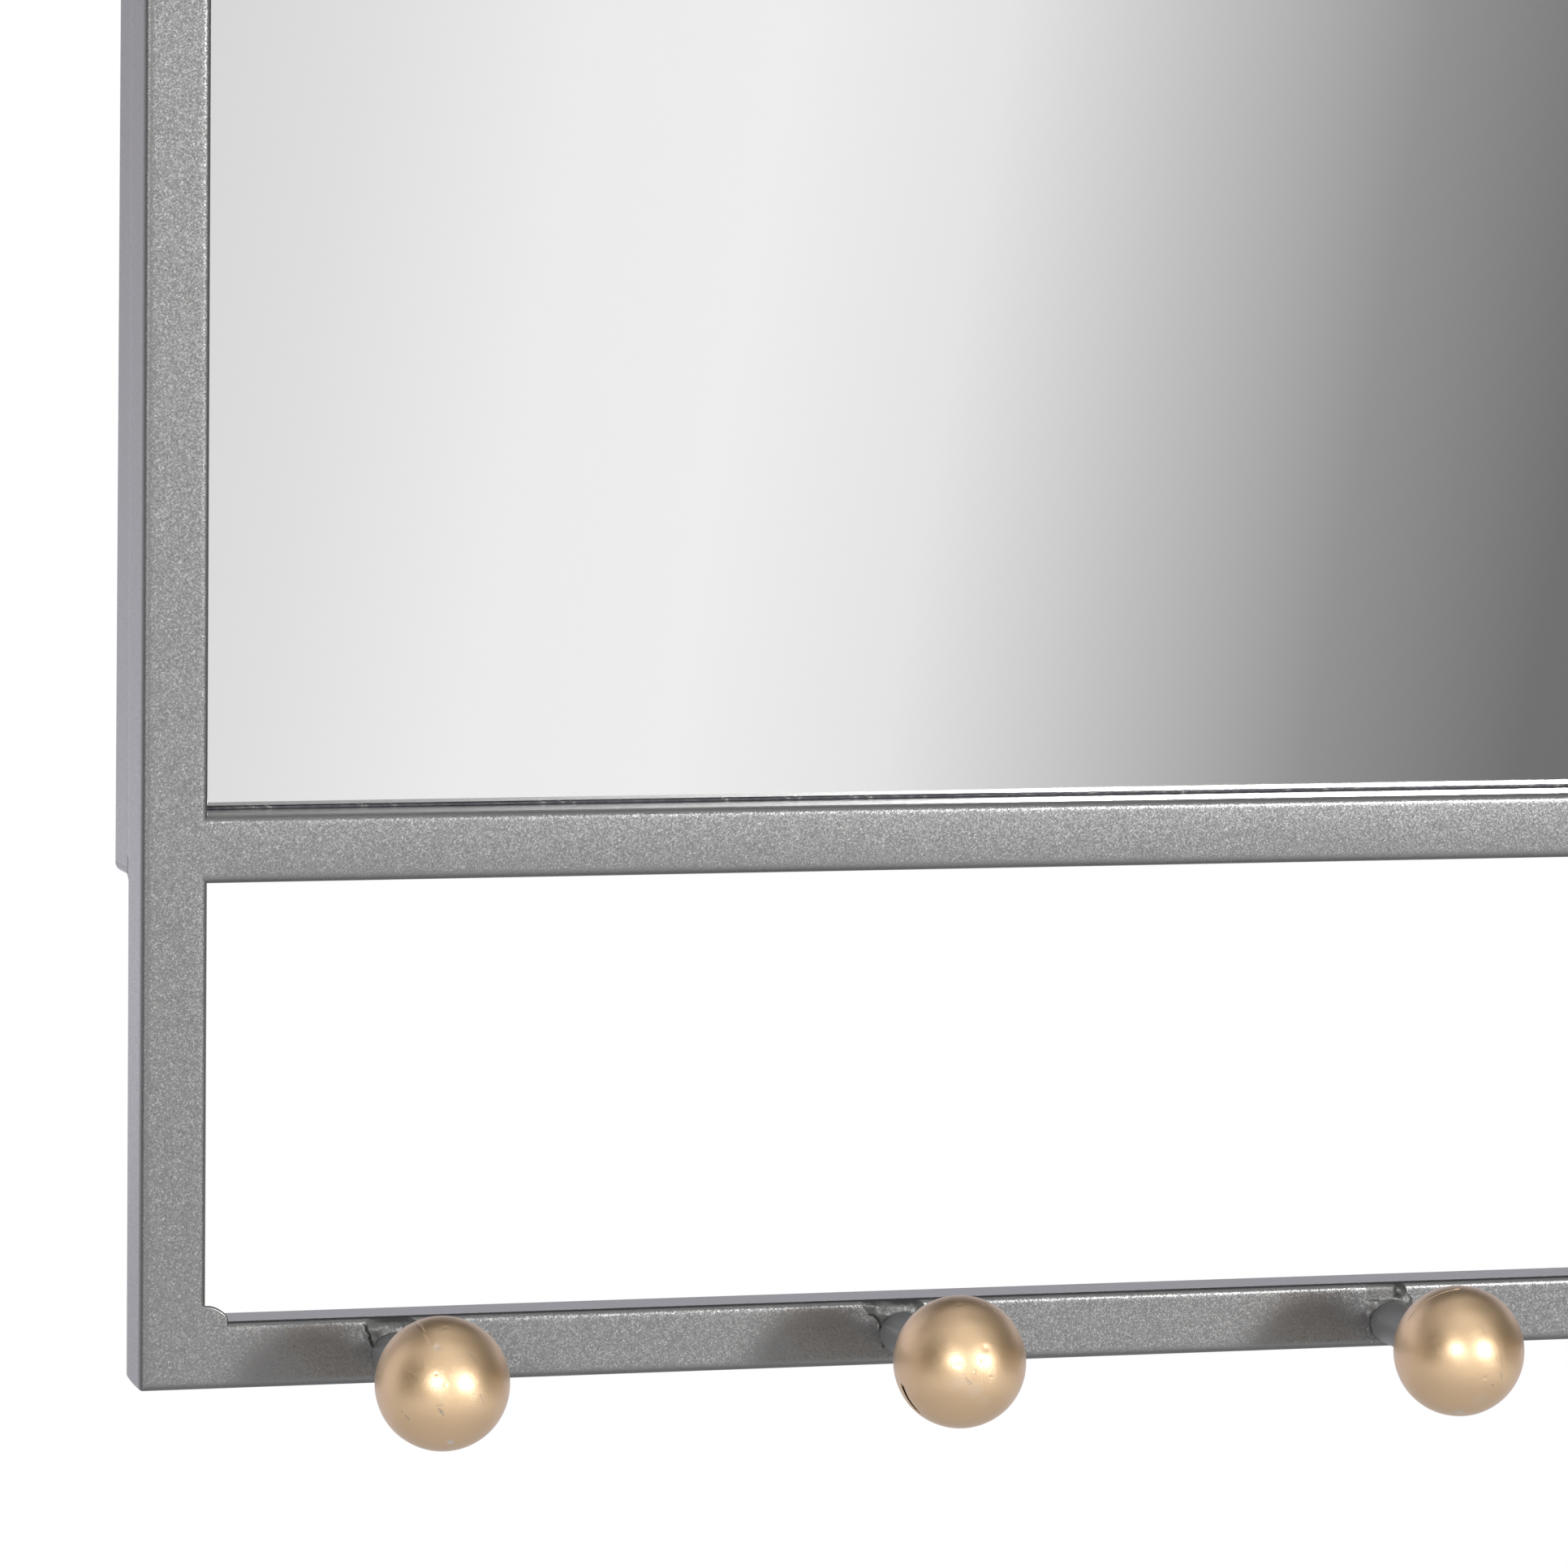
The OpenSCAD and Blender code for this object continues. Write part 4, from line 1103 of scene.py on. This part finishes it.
def weld_height(number, u, w, from_top, crack):
    """Height over the rail's face in mm: the heaps, each tall * exp(-(distance / width)^2.6),
    with a fillet against the peg's upper half, less LAY. Below zero it lies inside the
    tube's wall. The crack sinks into it between low lips, and it runs out at the rail's top."""
    height = np.full(u.shape, -LAY)
    for heap_u, heap_w, radius, tall in HEAPS[number]:
        off = ((u - heap_u) ** 2 + (w - heap_w) ** 2) / (HEAP_WIDTH * radius) ** 2
        height += HEAP_HEIGHT * tall * np.exp(-off ** HEAP_POWER)
    from_peg = np.abs(np.hypot(u, w) - PEG_RADIUS / MM)
    on_top = np.clip((w - FILLET_FROM) / FILLET_EASE, 0, 1)
    height += FILLET * np.exp(-from_peg / FILLET_REACH) * on_top
    flat = np.stack([u, 0 * u, w], -1) * MM
    height += LUMPS * smooth_noise(flat, LUMP_WAVE * MM, number + 9) * (height > LUMPS_ABOVE)
    if number == DRESSED:
        dressed = np.clip((w - DRESSED_ABOVE) / EASE_UP, 0, 1)
        dressed *= np.clip((DRESSED_LEFT_OF - u) / EASE_LEFT, 0, 1)
        height += dressed * (np.minimum(height, DRESSED_LEVEL + DRESSED_LEAN * u) - height)
    height *= np.clip(from_top / EDGE_RUN, 0, 1) ** EDGE_POWER
    cut = height - CRACK_DEPTH * np.exp(-(crack / CRACK_WIDTH) ** 2)
    height = np.where(crack < CRACK_REACH, np.maximum(cut, LIP - LIP_FALL * crack), height)
    return np.clip(height, LEAST_HEIGHT, MOST_HEIGHT)


def root_weld(number):
    """The points, cells and painted crack shade of one weld: a grid over the rail's face with its
    height, the same grid behind it, and sides between. Its last rows follow the tube's round edge."""
    x, z = peg_places[number]
    lowest = max(WELD_LOWEST, (BOTTOM - z) / MM + OVER_UNDERSIDE)
    u, w = np.meshgrid(np.arange(WELD_LEFT, WELD_RIGHT, WELD_STEP),
                       np.arange(lowest, (GAP - z) / MM - UNDER_TOP, WELD_STEP))
    from_top = (GAP - z) / MM - w
    crack = from_crack(number, u, w)
    # painted shade along the crack, falling off as exp(-(distance / width)^2)
    painted_shade = np.exp(-(crack / CRACK_SHADE_WIDTH) ** 2).ravel()
    height = weld_height(number, u, w, from_top, crack)
    front_y = FRONT + edge_sink(from_top * MM) - height * MM
    back_y = np.maximum(FRONT + WELD_BACK, front_y + LEAST_THICK)
    top, bottom = (np.stack([x + u * MM, y, z + w * MM], -1) for y in (front_y, back_y))
    rows, columns = u.shape
    count = rows * columns
    cells = np.concatenate([grid_cells(rows, columns, False, False),
                            grid_cells(rows, columns, False, False, first=count)[:, ::-1]])
    index = np.arange(count).reshape(rows, columns)
    border = np.concatenate([index[0, :-1], index[:-1, -1], index[-1, :0:-1], index[:0:-1, 0]])
    after = np.roll(border, -1)
    sides = np.stack([after, border, border + count, after + count], -1)
    points = np.concatenate([top.reshape(-1, 3), bottom.reshape(-1, 3)])
    return points, np.concatenate([cells, sides]), np.concatenate([painted_shade, painted_shade])


for number in HOOKS:
    weld_points, weld_cells, painted_shade = root_weld(number)
    weld = make_piece(f"peg_{number}_weld", weld_points, weld_cells, pewter_weld_shaded, slot="pewter_paint",
                      stands_for=["peg_welds"] if number == 1 else (), sharp=60)
    store_painted_shade(weld, painted_shade)

# %% Throw the spatter
DROP_RINGS, DROP_ROUND, SQUASH = 10, 20, 0.7
DROP_SUNK = 0.05 * MM


def bead(centre, radius):
    """A small drop of metal: rings of a squashed sphere."""
    polar = np.linspace(0, np.pi, DROP_RINGS + 2)[1:-1, None]
    turn = np.linspace(0, TURN, DROP_ROUND, endpoint=False)
    rings = np.stack([np.sin(polar) * np.cos(turn), -SQUASH * np.cos(polar) + 0 * turn,
                      np.sin(polar) * np.sin(turn)], -1) * radius
    pole = np.array([[0, SQUASH * radius, 0]])
    points = np.concatenate([-pole, rings.reshape(-1, 3), pole])
    return points + np.array(centre), ring_cells(DROP_RINGS, DROP_ROUND)


def joined(parts):
    """Several point and cell lists as one."""
    offset, points, cells = 0, [], []
    for some_points, some_cells in parts:
        if signed_volume(some_points, some_cells) < 0:
            some_cells = some_cells[:, ::-1]
        points.append(some_points)
        cells.append(some_cells + offset)
        offset += len(some_points)
    return np.concatenate(points), np.concatenate(cells)


drops = [bead((x + u * MM, FRONT + DROP_SUNK, z + w * MM), radius * MM)
         for number, (x, z) in peg_places.items() for u, w, radius in SPATTER[number]]
make_piece("weld_spatter", *joined(drops), pewter_smooth, slot="pewter_paint")


# %% Lay the beads at the balls
BEAD_RUN, BEAD_ROUND = 240, 20
BEAD_THICK, BEAD_SUNK = 1.5 * MM, 0.1 * MM
# share of the thickness and waves round the ring: the ripples, and a slow sway under them
RIPPLE, RIPPLES, SWAY, SWAYS = 0.10, 34, 0.06, 3


def ball_bead(number):
    """A ring of weld round the peg, where it enters the ball: a torus of radius PEG_RADIUS
    whose thickness is 1 + 0.10 sin(34 run + sin(5 run)) + 0.06 sin(3 run + number) times
    BEAD_THICK, with run going once round."""
    x, z = peg_places[number]
    y = ball_centres[number][1] + math.sqrt(BALL_RADIUS ** 2 - PEG_RADIUS ** 2)
    run = np.linspace(0, TURN, BEAD_RUN, endpoint=False)[:, None]
    section = np.linspace(0, TURN, BEAD_ROUND, endpoint=False)[None, :]
    ripple = RIPPLE * np.sin(run * RIPPLES + np.sin(run * 5)) + SWAY * np.sin(run * SWAYS + number)
    thick = BEAD_THICK * (1 + ripple)
    reach = PEG_RADIUS - BEAD_SUNK + thick * np.cos(section)
    ring = np.stack([x + reach * np.cos(run), y + thick * np.sin(section) + 0 * run,
                     z + reach * np.sin(run)], -1)
    return ring.reshape(-1, 3), grid_cells(BEAD_RUN, BEAD_ROUND, True, True)


make_piece("ball_weld_beads", *joined([ball_bead(number) for number in HOOKS]), gold,
           slot="gold_paint", stands_for=["ball_welds"])

# %% [markdown]
# ## Frame welds
# Each lower corner of the open gap holds a bulge of weld, ground flush at the front and
# left as it flowed inside. Behind each stile a short stitch ties the two frames together.

# %% Fill the gap's lower corners
# in mm: the tube's depth, how far behind the face the bulge starts, the rounding at both
# faces, and the bulge's width and height with what they lose per mm of depth
TUBE_DEPTH, BEHIND_FACE, BULGE_ROUND = 19, 0.012, 0.55
WIDE, WIDE_LOSS, TALL, TALL_LOSS = 6.3, 0.12, 4.7, 0.16
EASE_SHARE, CAP_SHARE = 1.2, 0.85
OVERLAP = 0.02
# in mm: how far it runs on past its ends, and sinks into the rail, the stile and the corner
PAST_WIDE, PAST_TALL, INTO_RAIL, INTO_SIDE, INTO_CORNER = 0.5, 0.8, 3.2, 3.4, 3.6


def corner_bulge(side):
    """A quarter ellipse out from the corner that shrinks towards the back, rounds over at both
    faces and reaches over the tubes' round edges, so that its front lies flush with them. Its
    half axes are (WIDE, TALL) less their loss, times 1 + 0.018 sin(5 turn + 0.9 depth) +
    0.016 sin(2.1 depth)."""
    depth = np.concatenate([[0.0, 0.03, 0.1, 0.2, 0.4, 0.8], np.linspace(1.6, 17.4, 26),
                            [18.2, 18.6, 18.8]])
    turn = np.linspace(-OVERLAP, np.pi / 2 + OVERLAP, 40)
    rows = []
    for far in depth:
        drop = BULGE_ROUND - min(far, TUBE_DEPTH - far, BULGE_ROUND)
        ease = EASE_SHARE * (BULGE_ROUND - math.sqrt(BULGE_ROUND ** 2 - drop ** 2))
        swell = 1 + 0.018 * np.sin(turn * 5 + far * 0.9) + 0.016 * math.sin(far * 2.1)
        wide, tall = WIDE - WIDE_LOSS * far, TALL - TALL_LOSS * far
        out_x = np.concatenate([[wide + PAST_WIDE], (wide * swell - ease) * np.cos(turn),
                                [-INTO_SIDE, -INTO_CORNER]])
        out_z = np.concatenate([[-INTO_RAIL], (tall * swell - ease) * np.sin(turn),
                                [tall + PAST_TALL, -INTO_CORNER]])
        rows.append(np.stack([out_x, np.full(len(out_x), far + BEHIND_FACE), out_z], -1))
    grid = np.array(rows) * MM
    front, rear = grid[0].mean(0), grid[-1].mean(0)
    grid = np.concatenate([[front + CAP_SHARE * (grid[0] - front)], grid])
    points = np.concatenate([[front], grid.reshape(-1, 3), [rear]])
    points[:, 0] = (LEFT + TUBE + points[:, 0]) * (1 if side < 0 else -1)
    points[:, 1] += FRONT
    points[:, 2] += GAP
    return points, ring_cells(*grid.shape[:2])


make_piece("corner_weld_bulges", *joined([corner_bulge(-1), corner_bulge(1)]), pewter,
           slot="pewter_paint", stands_for=["corner_welds"], sharp=50)


# %% Lay the stitches behind the stiles
# in mm: the rear tube's ground corner, half its width, half the run, the leg, and how far
# the fillet sinks into both tubes
CORNER_ROUND, HALF_TUBE, HALF_RUN, LEG, INTO_TUBES = 3.6, 9.5, 9.1, 3.0, 0.7
# shares of the leg: its least height at the ends, the throat's dip, the legs back and down
END_SHARE, DIP, BACK_LEG, DOWN_LEG = 0.62, 0.40, 1.2, 0.95
# the leg shrinks with sqrt(1 - (place / FADE_END)^8) towards the ends of the run
FADE_END = 9.26


def stitch(side):
    """A fillet across the tube's width whose throat dips and ripples along its run: distance
    from the corner = leg * (1 - DIP * sin(2 lean)^0.9), with lean going from the back leg to
    the lower one and leg = LEG * fade * (1 + 0.05 sin(4.4 place) + 0.05 sin(1.3 place + 1)).
    Near the sides it climbs with the rear tube's ground corner."""
    run = np.linspace(-HALF_RUN, HALF_RUN, 80)
    lean = np.linspace(0, np.pi / 2, 14)
    rows = []
    for place in run:
        fade = END_SHARE + (1 - END_SHARE) * math.sqrt(1 - (place / FADE_END) ** 8)
        leg = LEG * fade * (1 + 0.05 * math.sin(place * 4.4) + 0.05 * math.sin(place * 1.3 + 1))
        throat = leg * (1 - DIP * np.abs(np.sin(2 * lean)) ** 0.9)
        back, down = BACK_LEG * throat * np.cos(lean), DOWN_LEG * throat * np.sin(lean)
        in_corner = max(CORNER_ROUND - (HALF_TUBE - abs(place)), 0.0)
        lift = CORNER_ROUND - math.sqrt(CORNER_ROUND ** 2 - in_corner ** 2)
        rows.append(np.stack([np.full(len(lean) + 1, place), np.append(back, -INTO_TUBES),
                              np.append(lift - down, lift + INTO_TUBES)], -1))
    grid = np.array(rows) * MM
    points = np.concatenate([[grid[0].mean(0)], grid.reshape(-1, 3), [grid[-1].mean(0)]])
    points += np.array([side * (-LEFT - TUBE / 2), SEAM, CROSS])
    return points, ring_cells(*grid.shape[:2])


make_piece("seam_stitches", *joined([stitch(-1), stitch(1)]), pewter_smooth, slot="pewter_paint",
           stands_for=["seam_welds"], sharp=60)

# %% [markdown]
# ## The back's parts
# The board, tape, tabs, hangers, rings, screws and bumpers are as full in the imported model
# as they are on the real mirror, so they keep its shapes and only get their finishes.

# %% Give the back's parts their finishes
for name, finish in {
        "back_board": board, "mirror_tape": foam, "board_screws": zinc, "board_tabs": pewter_smooth,
        "hanger_left": zinc, "hanger_right": zinc, "ring_left": zinc, "ring_right": zinc,
        "hanger_screws": zinc, "wall_bumpers": rubber}.items():
    slots = nodes[name].data.materials
    if len(slots):
        for number in range(len(slots)):
            slots[number] = finish
    else:
        slots.append(finish)
    print(name, "is", finish.name)
